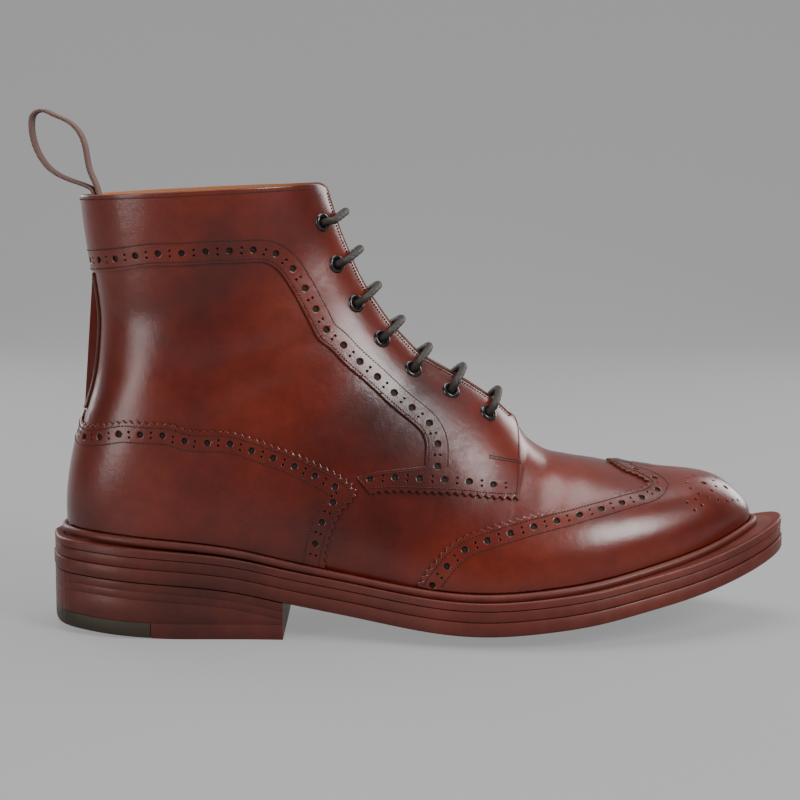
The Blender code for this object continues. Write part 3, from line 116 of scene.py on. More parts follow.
# Fan of sections from the toe tip to the collar. Lengths are shares: x of
# LAST_LENGTH, back_up of INSTEP_HEIGHT + SHAFT_RISE, widths of BALL_WIDTH.
# front_up is 0 to 1 up to INSTEP_HEIGHT and 1 to 2 over SHAFT_RISE. widest is
# the half width where the section is widest, at that share of its depth, and
# low and high are the exponents of its curve below and above that line.
SECTION_COLUMNS = ("back_x", "back_up", "front_x", "front_up", "centre", "ridge",
                   "feather", "widest", "widest_at", "low", "high")
SECTIONS = (
    (0.996, 0.000, 0.996, 0.000, 0.092, 0.092, 0.000, 0.000, 0.40, 2.30, 2.20),
    (0.994, 0.000, 0.994, 0.160, 0.092, 0.092, 0.039, 0.042, 0.40, 2.30, 2.20),
    (0.988, 0.000, 0.988, 0.230, 0.091, 0.092, 0.076, 0.084, 0.40, 2.30, 2.20),
    (0.976, 0.000, 0.976, 0.311, 0.089, 0.091, 0.124, 0.137, 0.40, 2.30, 2.20),
    (0.957, 0.000, 0.957, 0.416, 0.084, 0.089, 0.187, 0.204, 0.40, 2.30, 2.20),
    (0.931, 0.000, 0.931, 0.504, 0.075, 0.086, 0.253, 0.274, 0.40, 2.30, 2.20),
    (0.894, 0.000, 0.895, 0.574, 0.063, 0.082, 0.322, 0.346, 0.39, 2.30, 2.15),
    (0.847, 0.000, 0.848, 0.643, 0.046, 0.076, 0.389, 0.415, 0.38, 2.30, 2.10),
    (0.792, 0.000, 0.794, 0.740, 0.025, 0.072, 0.446, 0.470, 0.36, 2.30, 2.05),
    (0.732, 0.000, 0.740, 0.832, 0.000, 0.067, 0.482, 0.500, 0.34, 2.30, 2.00),
    (0.668, 0.000, 0.696, 0.904, -0.017, 0.062, 0.490, 0.504, 0.32, 2.30, 1.95),
    (0.608, 0.000, 0.669, 1.000, -0.035, 0.055, 0.467, 0.485, 0.30, 2.30, 1.90),
    (0.545, 0.000, 0.650, 1.081, -0.048, 0.049, 0.420, 0.454, 0.30, 2.30, 1.90),
    (0.478, 0.000, 0.620, 1.175, -0.051, 0.041, 0.363, 0.426, 0.30, 2.30, 1.95),
    (0.405, 0.000, 0.584, 1.250, -0.041, 0.033, 0.324, 0.404, 0.31, 2.30, 2.00),
    (0.319, 0.000, 0.548, 1.308, -0.026, 0.026, 0.307, 0.387, 0.33, 2.30, 2.05),
    (0.232, 0.000, 0.515, 1.357, -0.016, 0.021, 0.311, 0.376, 0.36, 2.40, 2.10),
    (0.152, 0.000, 0.492, 1.415, -0.010, 0.016, 0.314, 0.370, 0.40, 2.50, 2.15),
    (0.085, 0.000, 0.474, 1.463, -0.005, 0.013, 0.289, 0.365, 0.43, 2.50, 2.20),
    (0.042, 0.000, 0.460, 1.511, -0.002, 0.010, 0.224, 0.361, 0.45, 2.50, 2.20),
    (0.017, 0.000, 0.449, 1.555, 0.000, 0.007, 0.133, 0.358, 0.46, 2.50, 2.20),
    (0.007, 0.000, 0.445, 1.571, 0.000, 0.005, 0.000, 0.356, 0.46, 2.50, 2.20),
    (0.005, 0.041, 0.440, 1.588, 0.000, 0.004, 0.000, 0.354, 0.46, 2.50, 2.20),
    (0.005, 0.118, 0.430, 1.635, 0.000, 0.002, 0.000, 0.350, 0.46, 2.50, 2.20),
    (0.014, 0.229, 0.418, 1.703, 0.000, 0.000, 0.000, 0.343, 0.46, 2.40, 2.20),
    (0.028, 0.322, 0.408, 1.766, 0.000, 0.000, 0.000, 0.337, 0.46, 2.40, 2.20),
    (0.043, 0.413, 0.400, 1.816, 0.000, 0.000, 0.000, 0.335, 0.46, 2.30, 2.20),
    (0.051, 0.509, 0.394, 1.861, 0.000, 0.000, 0.000, 0.339, 0.46, 2.30, 2.20),
    (0.052, 0.605, 0.389, 1.903, 0.000, 0.000, 0.000, 0.350, 0.46, 2.30, 2.20),
    (0.046, 0.699, 0.384, 1.941, 0.000, 0.000, 0.000, 0.365, 0.47, 2.30, 2.20),
    (0.038, 0.794, 0.380, 1.976, 0.000, 0.000, 0.000, 0.380, 0.48, 2.30, 2.20),
    (0.032, 0.890, 0.376, 2.004, 0.000, 0.000, 0.000, 0.391, 0.48, 2.30, 2.20),
)

# Centre line of the outsole's underside. x is a share of LAST_LENGTH, up of
# HEEL_HEIGHT behind the ball and of TOE_SPRING before it, crown of TREAD_CROWN.
BALL_AT = 0.595
SOLE_LINE = (
    (-0.030, 1.000, 0.00),
    (0.058, 0.950, 0.00),
    (0.148, 0.878, 0.00),
    (0.262, 0.705, 0.15),
    (0.315, 0.561, 0.25),
    (0.412, 0.302, 0.60),
    (0.512, 0.086, 0.85),
    (0.595, 0.000, 1.00),
    (0.692, 0.060, 1.00),
    (0.762, 0.161, 0.89),
    (0.832, 0.307, 0.75),
    (0.908, 0.493, 0.51),
    (0.972, 0.696, 0.28),
    (1.018, 0.872, 0.08),
    (1.048, 1.000, 0.00),
)

# Outsole edge outside the feather line, as shares of TOE_MARGIN, from heel back to toe tip
MARGIN_AT = (0.00, 0.10, 0.30, 0.55, 0.80, 0.95, 1.00)
MARGINS = (0.567, 0.520, 0.507, 0.667, 0.747, 0.920, 1.000)

# Edges of the overlays seen from the side: x as a share of LAST_LENGTH and
# height above the feather line as a share of INSTEP_HEIGHT + SHAFT_RISE
CAP_EDGE = (
    (0.803, 0.272), (0.825, 0.252), (0.839, 0.233), (0.833, 0.226), (0.797, 0.234),
    (0.766, 0.235), (0.719, 0.231), (0.681, 0.228), (0.643, 0.221), (0.606, 0.208),
    (0.572, 0.189), (0.554, 0.168), (0.539, 0.137), (0.524, 0.101), (0.513, 0.072),
    (0.506, 0.046),
)
COUNTER_EDGE = (
    (0.097, 0.342), (0.165, 0.349), (0.225, 0.346), (0.284, 0.339), (0.344, 0.323),
    (0.389, 0.300), (0.416, 0.281), (0.431, 0.249), (0.405, 0.207), (0.394, 0.165),
    (0.386, 0.121), (0.381, 0.079), (0.379, 0.046),
)
FACING_TAB = ((0.650, 0.440), (0.656, 0.398), (0.654, 0.299), (0.650, 0.262))
FACING_BAND = ((0.606, 0.271), (0.568, 0.279), (0.532, 0.277), (0.479, 0.270),
               (0.455, 0.260), (0.441, 0.254))
FACING_INNER = (
    (0.424, 0.291), (0.449, 0.312), (0.494, 0.332), (0.520, 0.343), (0.522, 0.410),
    (0.512, 0.432), (0.487, 0.459), (0.453, 0.504), (0.417, 0.549), (0.382, 0.602),
    (0.359, 0.650), (0.339, 0.712), (0.319, 0.766), (0.299, 0.788), (0.231, 0.760),
    (0.143, 0.737), (0.060, 0.705),
)

LACE_TURN = 0.02           # stretch of places over which the inner run turns to its eyelet

# How a bar of the lace leaves its eyelet: steps towards the throat and heights
# above the upper, as shares of the lace's diameter
LACE_RISE = ((0.52, -1.22), (0.11, -0.88), (0.0, -0.35), (0.0, 0.35), (0.11, 0.97), (0.52, 1.38),
             (1.10, 1.43))

# The pull loop's middle line from its outer end to its inner end: x and z from
# the inside of the collar's back, as shares of LOOP_HEIGHT, and twist in radians
LOOP_ROUTE = (
    (0.040, -0.330, 0.0), (0.006, -0.053, 0.0), (-0.019, 0.059, 0.0), (-0.107, 0.115, 0.0),
    (-0.325, 0.194, 0.0), (-0.537, 0.312, 0.1), (-0.684, 0.500, 0.2), (-0.754, 0.688, 0.3),
    (-0.775, 0.874, 0.3), (-0.737, 1.009, 0.3), (-0.646, 1.050, 0.3), (-0.496, 1.000, 0.3),
    (-0.310, 0.912, 0.3), (-0.175, 0.774, 0.3), (-0.101, 0.562, 0.2), (-0.057, 0.315, 0.1),
    (0.020, 0.124, 0.0), (0.058, -0.010, 0.0), (0.098, -0.330, 0.0),
)


def spline(knots, values, where):
    """Natural cubic through the knots, one curve for each column of values."""
    knots = np.asarray(knots, dtype=float)
    values = np.asarray(values, dtype=float).reshape(len(knots), -1)
    step = np.diff(knots)
    system = np.eye(len(knots))
    right = np.zeros_like(values)
    slope = np.diff(values, axis=0) / step[:, None]
    for i in range(1, len(knots) - 1):
        system[i, i - 1:i + 2] = (step[i - 1], 2 * (step[i - 1] + step[i]), step[i])
        right[i] = 6 * (slope[i] - slope[i - 1])
    bend = np.linalg.solve(system, right)
    where = np.clip(np.atleast_1d(where).astype(float), knots[0], knots[-1])
    k = np.clip(np.searchsorted(knots, where, side="right") - 1, 0, len(knots) - 2)
    width = step[k][:, None]
    b = (where - knots[k])[:, None] / width
    a = 1 - b
    curve = (a ** 3 - a) * bend[k] + (b ** 3 - b) * bend[k + 1]
    return a * values[k] + b * values[k + 1] + curve * width ** 2 / 6


# The sole's levels, each the top or underside of a layer above the outsole's underside
MIDSOLE_LEVEL = OUTSOLE_THICKNESS + CLEARANCE
MIDSOLE_TOP = MIDSOLE_LEVEL + MIDSOLE_THICKNESS
SEAT_LEVEL = MIDSOLE_TOP + CLEARANCE
WELT_TOP = SEAT_LEVEL + WELT_THICKNESS
FEATHER_CROWN = 0.67       # share of the crown at the feather line

SOLE_TABLE = np.array(SOLE_LINE)
SOLE_X = SOLE_TABLE[:, 0] * LAST_LENGTH
SOLE_REACH = np.where(SOLE_TABLE[:, 0] < BALL_AT, HEEL_HEIGHT, TOE_SPRING)
SOLE_CURVES = np.column_stack((SOLE_TABLE[:, 1] * SOLE_REACH, SOLE_TABLE[:, 2] * TREAD_CROWN))

TABLE = {name: np.array(column) for name, column in zip(SECTION_COLUMNS, zip(*SECTIONS))}


def seat(x):
    """Height of the feather line at x."""
    curves = spline(SOLE_X, SOLE_CURVES, x)
    return curves[:, 0] + FEATHER_CROWN * curves[:, 1] + SEAT_LEVEL


def front_height(share):
    """Height above the feather line of a front_up value."""
    return np.minimum(share, 1) * INSTEP_HEIGHT + np.maximum(share - 1, 0) * SHAFT_RISE


def section_places():
    """Place of each section between toe tip, 0, and collar, 1, by the steps of its two ends."""
    back = np.column_stack((TABLE["back_x"] * LAST_LENGTH,
                            TABLE["back_up"] * (INSTEP_HEIGHT + SHAFT_RISE),
                            TABLE["feather"] * BALL_WIDTH))
    front = np.column_stack((TABLE["front_x"] * LAST_LENGTH,
                             front_height(TABLE["front_up"]),
                             TABLE["widest"] * BALL_WIDTH))
    steps = np.linalg.norm(np.diff(back, axis=0), axis=1)
    steps = steps + np.linalg.norm(np.diff(front, axis=0), axis=1)
    return np.concatenate(([0.0], np.cumsum(steps))) / steps.sum()


PLACES = section_places()
HEEL_ROW = max(i for i in range(1, len(SECTIONS)) if TABLE["back_up"][i] == 0)
HEEL_AT = PLACES[HEEL_ROW]     # behind this place the sections close on the back line
CURVES = np.column_stack([TABLE[name] for name in SECTION_COLUMNS])
ANGLE_STEPS = 40


def section_at(places):
    """The sections' sizes in metres at these places."""
    row = dict(zip(SECTION_COLUMNS, spline(PLACES, CURVES, places).T))
    back_x = row["back_x"] * LAST_LENGTH
    front_x = row["front_x"] * LAST_LENGTH
    back_up = np.where(places > HEEL_AT, np.maximum(row["back_up"], 0), 0)
    feather = np.where(places < HEEL_AT, np.maximum(row["feather"], 0), 0) * BALL_WIDTH
    widest = np.maximum(row["widest"] * BALL_WIDTH, 1e-9)
    feather = np.minimum(feather, widest * 0.995)
    back_z = seat(back_x) + back_up * (INSTEP_HEIGHT + SHAFT_RISE)
    front_z = seat(front_x) + front_height(np.maximum(row["front_up"], 0))
    low = row["low"]
    reach = (1 - (feather / widest) ** low) ** (1 / low)
    return {"back": np.column_stack((back_x, back_z)), "front": np.column_stack((front_x, front_z)),
            "centre": row["centre"] * BALL_WIDTH, "ridge": row["ridge"] * BALL_WIDTH,
            "widest": widest, "at": row["widest_at"], "low": low, "high": row["high"],
            "reach": reach, "feather": feather}


def section_curve(row, angle):
    """Depth share and half width along a section at an angle, 0 where it is widest."""
    sine = np.sin(angle)
    power = np.where(sine < 0, row["low"][:, None], row["high"][:, None])
    lower = (row["at"] / row["reach"])[:, None]
    upper = (1 - row["at"])[:, None]
    depth = row["at"][:, None] + sine * np.where(sine < 0, lower, upper)
    width = row["widest"][:, None] * np.maximum(1 - np.abs(sine) ** power, 0) ** (1 / power)
    return depth, width


def last_points(places, across):
    """Points of the last. across runs -1 outer feather, 0 ridge, 1 inner feather."""
    places = np.clip(places, 0, 1)
    side = np.where(across < 0, -1.0, 1.0)
    share = np.clip(1 - np.abs(across), 0, 1)
    row = section_at(places)
    span = np.linalg.norm(row["front"] - row["back"], axis=1)
    start = -np.arcsin(row["reach"])
    angles = start[:, None] + (math.pi / 2 - start)[:, None] * np.linspace(0, 1, ANGLE_STEPS + 1)
    depth, width = section_curve(row, angles)
    steps = np.hypot(np.diff(depth, axis=1) * span[:, None], np.diff(width, axis=1))
    run = np.concatenate((np.zeros((len(places), 1)), np.cumsum(steps, axis=1)), axis=1)
    goal = share * run[:, -1]
    k = np.clip((run < goal[:, None]).sum(axis=1) - 1, 0, ANGLE_STEPS - 1)
    index = np.arange(len(places))
    piece = np.maximum(run[index, k + 1] - run[index, k], 1e-12)
    part = (goal - run[index, k]) / piece
    angle = angles[index, k] * (1 - part) + angles[index, k + 1] * part
    depth, width = section_curve(row, angle[:, None])
    depth = depth[:, 0]
    flat = row["back"] + (row["front"] - row["back"]) * depth[:, None]
    ease = np.clip(depth, 0, 1)
    ease = ease * ease * (3 - 2 * ease)
    middle = row["centre"] + (row["ridge"] - row["centre"]) * ease
    return np.column_stack((flat[:, 0], middle + side * width[:, 0], flat[:, 1]))


NORMAL_STEP = 0.002


def last_normals(places, across):
    """Outward unit normals of the last."""
    ahead = last_points(places + NORMAL_STEP, across) - last_points(places - NORMAL_STEP, across)
    closed = places >= HEEL_AT
    over, under = across + NORMAL_STEP, across - NORMAL_STEP
    over = np.where(closed & (over > 1), over - 2, np.minimum(over, 1))
    under = np.where(closed & (under < -1), under + 2, np.maximum(under, -1))
    round_it = last_points(places, over) - last_points(places, under)
    normal = np.cross(round_it, ahead)
    size = np.linalg.norm(normal, axis=1)
    normal[size < 1e-14] = (1, 0, 0)
    return normal / np.linalg.norm(normal, axis=1)[:, None]




def sole_loop():
    """Lateral and medial edges of the outsole: x and y from heel back to toe tip."""
    sides = {}
    places = np.linspace(HEEL_AT, 0, 160)
    for side in (-1, 1):
        line = last_points(places, np.full(len(places), float(side)))[:, :2]
        way = np.gradient(line, axis=0)
        way[0] = (0, side)
        way[-1] = (0, -side)
        way = way / np.linalg.norm(way, axis=1)[:, None]
        outward = np.column_stack((-way[:, 1], way[:, 0])) * side
        share = (line[:, 0] - line[0, 0]) / (line[-1, 0] - line[0, 0])
        margin = TOE_MARGIN * spline(MARGIN_AT, MARGINS, share)[:, 0]
        sides[side] = line + outward * margin[:, None]
    return sides


SOLE_EDGES = sole_loop()
SOLE_BACK = SOLE_EDGES[1][0, 0]
SOLE_FRONT = SOLE_EDGES[1][-1, 0]


def edge_y(x, side, inset=0.0):
    """Edge of the sole at x on one side, with the loop drawn in by inset."""
    edge = SOLE_EDGES[side]
    middle = edge[:, 0].mean()
    reach = (SOLE_FRONT - SOLE_BACK) / 2
    stretched = middle_x() + (x - middle_x()) * reach / (reach - inset)
    y = np.interp(stretched, edge[:, 0], edge[:, 1])
    ends = np.interp(x, (SOLE_BACK, SOLE_FRONT), (edge[0, 1], edge[-1, 1]))
    width = np.abs(y - ends)
    share = np.where(width > inset, (width - inset) / np.maximum(width, 1e-9), 0)
    return ends + (y - ends) * share


def middle_x():
    """Middle of the sole's length."""
    return (SOLE_BACK + SOLE_FRONT) / 2


def bed(x, y, level):
    """Height of a level of the sole at x and y."""
    x = np.atleast_1d(np.asarray(x, dtype=float))
    y = np.atleast_1d(np.asarray(y, dtype=float))
    curves = spline(SOLE_X, SOLE_CURVES, x)
    left, right = edge_y(x, -1), edge_y(x, 1)
    half = np.maximum((right - left) / 2, MIN_HALF_WIDTH)
    out = np.minimum(np.abs(y - (left + right) / 2) / half, 1)
    height = curves[:, 0] + curves[:, 1] * out ** 2 + level
    return height if len(height) > 1 else float(height[0])
# The last as a fine table of points, looked up between its rows and columns
TABLE_ROWS = 560
TABLE_COLUMNS = 180
PROUD = CLEARANCE + OVERLAY_THICKNESS

# Soft troughs where the ankle and the vamp flex: x and height in the side view as
# shares of the last, half length, half width, depth in metres and slope in degrees
CREASES = (
    (0.300, 0.560, 0.026, 0.0065, 0.0011, 12),
    (0.330, 0.480, 0.030, 0.0070, 0.0010, 22),
    (0.190, 0.470, 0.024, 0.0075, 0.0008, -10),
    (0.400, 0.400, 0.020, 0.0060, 0.0008, 38),
    (0.120, 0.600, 0.022, 0.0080, 0.0007, 8),
    (0.725, 0.240, 0.016, 0.0050, 0.0006, 70),
    (0.690, 0.270, 0.014, 0.0050, 0.0005, 74),
)


def crease(points):
    """How far each point of the last sinks in the soft troughs."""
    depth = np.zeros(points.shape[:-1])
    full = INSTEP_HEIGHT + SHAFT_RISE
    for x, up, length, width, deep, slope in CREASES:
        middle_z = seat(np.array([x * LAST_LENGTH]))[0] + up * full
        dx, dz = points[..., 0] - x * LAST_LENGTH, points[..., 2] - middle_z
        turn = math.radians(slope)
        along = dx * math.cos(turn) + dz * math.sin(turn)
        across = dz * math.cos(turn) - dx * math.sin(turn)
        depth += deep * np.exp(-(along / length) ** 2 - (across / width) ** 2)
    return depth


SOFT_ROWS = 9               # reach in rows of the smoothing where sections turn up the back
SOFT_STRETCH = 0.05         # stretch of places in which it acts


def softened(places, shares, values):
    """Table values smoothed along the last where its sections begin to turn up the back."""
    span = np.arange(-3 * SOFT_ROWS, 3 * SOFT_ROWS + 1)
    weights = np.exp(-(span / SOFT_ROWS) ** 2 / 2)
    weights /= weights.sum()
    padded = np.pad(values, ((len(span) // 2,) * 2, (0, 0), (0, 0)), "edge")
    smoothed = sum(weight * padded[k:k + len(values)] for k, weight in enumerate(weights))
    near = np.exp(-((places - HEEL_AT) / SOFT_STRETCH) ** 4)
    inner = np.clip((shares - 0.015) / 0.06, 0, 1)
    share = (near[:, None] * inner * inner * (3 - 2 * inner))[..., None]
    return values * (1 - share) + smoothed * share


def fine_table(side):
    """Points and normals of one side of the last."""
    places = np.linspace(0, 1, TABLE_ROWS + 1)
    shares = np.linspace(0, 1, TABLE_COLUMNS + 1)
    rows, columns = np.meshgrid(places, shares, indexing="ij")
    across = (side * (1 - columns)).ravel()
    across = np.where(across == 0, side * 1e-9, across)
    points = last_points(rows.ravel(), across).reshape(TABLE_ROWS + 1, -1, 3)
    normals = last_normals(rows.ravel(), across).reshape(TABLE_ROWS + 1, -1, 3)
    normals[0] = normals[1]
    points, normals = softened(places, shares, points), softened(places, shares, normals)
    normals = normals / np.linalg.norm(normals, axis=-1)[..., None]
    points = points - normals * crease(points)[..., None]
    return points, normals


FINE = {side: fine_table(side) for side in (-1, 1)}


def look_up(table, places, shares):
    """Values of a table at places and shares."""
    row = np.clip(np.asarray(places, float), 0, 1) * TABLE_ROWS
    column = np.clip(np.asarray(shares, float), 0, 1) * TABLE_COLUMNS
    i = np.minimum(row.astype(int), TABLE_ROWS - 1)
    j = np.minimum(column.astype(int), TABLE_COLUMNS - 1)
    a, b = (row - i)[..., None], (column - j)[..., None]
    near = table[i, j] * (1 - b) + table[i, j + 1] * b
    far = table[i + 1, j] * (1 - b) + table[i + 1, j + 1] * b
    return near * (1 - a) + far * a


def surface(side, places, shares, height=0.0):
    """Points and unit normals on one side of the boot, at a height over the last."""
    points, normals = FINE[side]
    normal = look_up(normals, places, shares)
    normal = normal / np.linalg.norm(normal, axis=-1)[..., None]
    height = np.asarray(height, float)
    height = height[..., None] if height.ndim else height
    return look_up(points, places, shares) + normal * height, normal


def metric(side, places, shares):
    """Change of the point with place and with share."""
    step = 0.5 / TABLE_ROWS
    places = np.clip(places, 2 * step, 1 - 2 * step)
    shares = np.clip(shares, 2 * step, 1 - 2 * step)
    points = FINE[side][0]
    by_place = look_up(points, places + step, shares) - look_up(points, places - step, shares)
    by_share = look_up(points, places, shares + step) - look_up(points, places, shares - step)
    return by_place / (2 * step), by_share / (2 * step)


def moved(side, line, way):
    """Places and shares of a line's points, moved over the surface by vectors."""
    by_place, by_share = metric(side, line[:, 0], line[:, 1])
    aa = (by_place * by_place).sum(1)
    ab = (by_place * by_share).sum(1)
    bb = (by_share * by_share).sum(1)
    wa, wb = (way * by_place).sum(1), (way * by_share).sum(1)
    scale = np.maximum(aa * bb - ab * ab, 1e-12)
    step = np.column_stack(((wa * bb - wb * ab) / scale, (wb * aa - wa * ab) / scale))
    return line + step


def densify(line, count=12):
    """A line with more points between each two."""
    line = np.asarray(line, float)
    parts = np.linspace(0, 1, count, endpoint=False)[:, None]
    pieces = [line[k] * (1 - parts) + line[k + 1] * parts for k in range(len(line) - 1)]
    return np.concatenate(pieces + [line[-1:]])


def smooth(line, rounds=3):
    """A line with its corners cut, its ends kept."""
    line = np.asarray(line, float)
    for _ in range(rounds):
        near = line[:-1] * 0.75 + line[1:] * 0.25
        far = line[:-1] * 0.25 + line[1:] * 0.75
        cut = np.stack((near, far), 1).reshape(-1, line.shape[1])
        line = np.concatenate((line[:1], cut[1:-1], line[-1:]))
    return line


def walk(side, line, pitch):
    """Stops along a line at equal steps: places and shares, points, directions and normals."""
    line = densify(line)
    points, _ = surface(side, line[:, 0], line[:, 1])
    run = np.concatenate(([0], np.cumsum(np.linalg.norm(np.diff(points, axis=0), axis=1))))
    count = max(int(round(run[-1] / pitch)), 1)
    stops = np.arange(count + 1) * (run[-1] / count)
    spots = np.column_stack([np.interp(stops, run, line[:, k]) for k in (0, 1)])
    middle, normals = surface(side, spots[:, 0], spots[:, 1])
    ways = np.gradient(middle, axis=0)
    ways = ways / np.maximum(np.linalg.norm(ways, axis=1), 1e-9)[:, None]
    return spots, middle, ways, normals


def beside(side, line, distance, pitch=0.002):
    """A line on the surface beside another one, to the left of it as seen from outside."""
    spots, middle, ways, normals = walk(side, line, pitch)
    aim = middle + np.cross(normals, ways) * distance
    for _ in range(12):
        miss = aim - surface(side, spots[:, 0], spots[:, 1])[0]
        length = np.linalg.norm(miss, axis=1)
        spots = moved(side, spots, miss * np.minimum(1, SHORT_STEP / np.maximum(length, 1e-9))[:, None])
        spots = np.clip(spots, 0, 1)
    return spots


SHORT_STEP = 0.0015


def gimped(side, line, pitch, depth):
    """A pinked edge: teeth along a line, to the left of it as seen from outside."""
    spots, _, ways, normals = walk(side, line, pitch / 4)
    left = np.cross(normals, ways)
    bite = np.array([0.0, 0.55, 1.0, 0.55])[np.arange(len(spots)) % 4]
    bite[[0, -1]] = 0
    return moved(side, spots, left * (bite * depth)[:, None])


def inside(loop, points):
    """Whether flat points lie inside a loop."""
    result = np.zeros(len(points), bool)
    x, y = points[:, 0], points[:, 1]
    before = np.roll(loop, 1, axis=0)
    for (ax, ay), (bx, by) in zip(before, loop):
        if ay != by:
            crossed = ((ay > y) != (by > y)) & (x < ax + (y - ay) / (by - ay) * (bx - ax))
            result ^= crossed
    return result


FLAT = np.array((PANEL_LENGTH, PANEL_HEIGHT))
TABLE_FLAT = np.linspace(0, 1, TABLE_ROWS + 1)
FINE_X = FINE[-1][0][..., 0]
FINE_UP = FINE[-1][0][..., 2] - seat(FINE_X.ravel()).reshape(FINE_X.shape)


SIDE_VIEW = np.stack((FINE_X, FINE_UP), axis=-1)
FIND_STEP = 0.5 / TABLE_ROWS


def find(x, up):
    """Place and share of a side-view position, up measured from the feather line."""
    gap = (FINE_X - x) ** 2 + (FINE_UP - up) ** 2
    i, j = np.unravel_index(gap.argmin(), gap.shape)
    spot = np.array((i / TABLE_ROWS, j / TABLE_COLUMNS))
    for _ in range(10):
        spot = np.clip(spot, FIND_STEP, 1 - FIND_STEP)
        around = spot + FIND_STEP * np.array(((0, 0), (1, 0), (-1, 0), (0, 1), (0, -1)))
        seen = look_up(SIDE_VIEW, around[:, 0], around[:, 1])
        change = np.column_stack((seen[1] - seen[2], seen[3] - seen[4])) / (2 * FIND_STEP)
        step = np.linalg.lstsq(change, np.array((x, up)) - seen[0], rcond=0.02)[0]
        spot = spot + np.clip(step, -0.006, 0.006)
    return tuple(np.clip(spot, 0, 1))


def outline(points):
    """Side-view shares of the last's length and full height, found on the last."""
    full = INSTEP_HEIGHT + SHAFT_RISE
    return np.array([find(x * LAST_LENGTH, up * full) for x, up in points])


def level(up, first, last, count=60):
    """Line at one height above the feather line, from one place to another."""
    places = last + (first - last) * np.linspace(1, 0, count) ** 2
    shares = []
    for place in places:
        i = min(int(place * TABLE_ROWS), TABLE_ROWS - 1)
        part = place * TABLE_ROWS - i
        heights = FINE_UP[i] * (1 - part) + FINE_UP[i + 1] * part
        top = int(heights.argmax()) + 1
        shares.append(np.interp(up, heights[:top], np.linspace(0, 1, TABLE_COLUMNS + 1)[:top]))
    return np.column_stack((places, shares))


def level_ends(up):
    """Places where the level line meets the ridge at the toe and the back line."""
    toe = np.interp(up, FINE_UP[:120, -1], TABLE_FLAT[:120])
    closed = TABLE_FLAT >= HEEL_AT
    return toe, np.interp(up, FINE_UP[closed, 0], TABLE_FLAT[closed])


def back_place(up):
    """Place where the back line has this share of the full height."""
    return level_ends(up * (INSTEP_HEIGHT + SHAFT_RISE))[1]


def run_over(side, place):
    """Length along a section up to each share."""
    points = surface(side, np.full(101, place), np.linspace(0, 1, 101))[0]
    return np.concatenate(([0], np.cumsum(np.linalg.norm(np.diff(points, axis=0), axis=1))))


def from_ridge(side, place, distance):
    """Share at a distance from the ridge."""
    run = run_over(side, place)
    return float(np.interp(run[-1] - distance, run, np.linspace(0, 1, 101)))


def from_back(side, place, distance):
    """Share at a distance from the back line."""
    return float(np.interp(distance, run_over(side, place), np.linspace(0, 1, 101)))


def ring_of(side, spot, radius, sides, long=1.0):
    """Loop of a round or long hole about a place and share."""
    by_place, by_share = metric(side, spot[None, 0], spot[None, 1])
    first = by_place[0] / np.linalg.norm(by_place[0])
    normal = np.cross(by_place[0], by_share[0])
    second = np.cross(normal, first)
    second = second / np.linalg.norm(second)
    turn = np.linspace(0, 2 * math.pi, sides, endpoint=False)[:, None]
    way = (first * np.cos(turn) * long + second * np.sin(turn)) * radius
    return moved(side, np.repeat(spot[None], sides, 0), way)

# The solids stand with their middle over the origin, the last's numbers start at the heel
heel_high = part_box("heel_top_piece")[1]
loop_low, loop_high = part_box("pull_loop")
SHIFT = np.array((heel_high.x - (SOLE_BACK + HEEL_LENGTH),
                  (loop_low.y + loop_high.y) / 2 - FINE[-1][0][-1, 0][1], 0.0))

def principled(name, colour, roughness, metallic=0.0, coat=0.0, coat_roughness=0.1):
    """New material and its node tree, links and shader."""
    made = bpy.data.materials.new(name)
    made.use_nodes = True
    tree = made.node_tree
    shader = tree.nodes["Principled BSDF"]
    shader.inputs["Base Color"].default_value = (*colour, 1)
    shader.inputs["Roughness"].default_value = roughness
    shader.inputs["Metallic"].default_value = metallic
    shader.inputs["Coat Weight"].default_value = coat
    shader.inputs["Coat Roughness"].default_value = coat_roughness
    shader.inputs["Specular IOR Level"].default_value = 0.35
    return made, tree, tree.links, shader


def noise(tree, where, scale, detail=4.0, roughness=0.55):
    """Noise texture at places of the object, for a scale in waves a metre."""
    node = tree.nodes.new("ShaderNodeTexNoise")
    node.inputs["Scale"].default_value = scale
    node.inputs["Detail"].default_value = detail
    node.inputs["Roughness"].default_value = roughness
    tree.links.new(where, node.inputs["Vector"])
    return node.outputs["Fac"]


def ramp(tree, value, stops):
    """Colour ramp with (place, colour) stops."""
    node = tree.nodes.new("ShaderNodeValToRGB")
    elements = node.color_ramp.elements
    while len(elements) < len(stops):
        elements.new(0.5)
    for element, (place, colour) in zip(elements, stops):
        element.position = place
        element.color = (*colour, 1)
    tree.links.new(value, node.inputs["Fac"])
    return node.outputs["Color"]


def mix(tree, share, first, second, blend="MIX"):
    """Mix of two colours."""
    node = tree.nodes.new("ShaderNodeMix")
    node.data_type = "RGBA"
    node.blend_type = blend
    for value, socket in ((share, 0), (first, 6), (second, 7)):
        if isinstance(value, (int, float)):
            node.inputs[socket].default_value = value
        elif isinstance(value, tuple):
            node.inputs[socket].default_value = (*value, 1)
        else:
            tree.links.new(value, node.inputs[socket])
    return node.outputs[2]


def bump(tree, height, distance, strength=1.0, under=None):
    """Bump from a height, over another bump."""
    node = tree.nodes.new("ShaderNodeBump")
    node.inputs["Distance"].default_value = distance
    node.inputs["Strength"].default_value = strength
    tree.links.new(height, node.inputs["Height"])
    if under:
        tree.links.new(under, node.inputs["Normal"])
    return node.outputs["Normal"]


def object_places(tree):
    """The object's own coordinates."""
    return tree.nodes.new("ShaderNodeTexCoord").outputs["Object"]


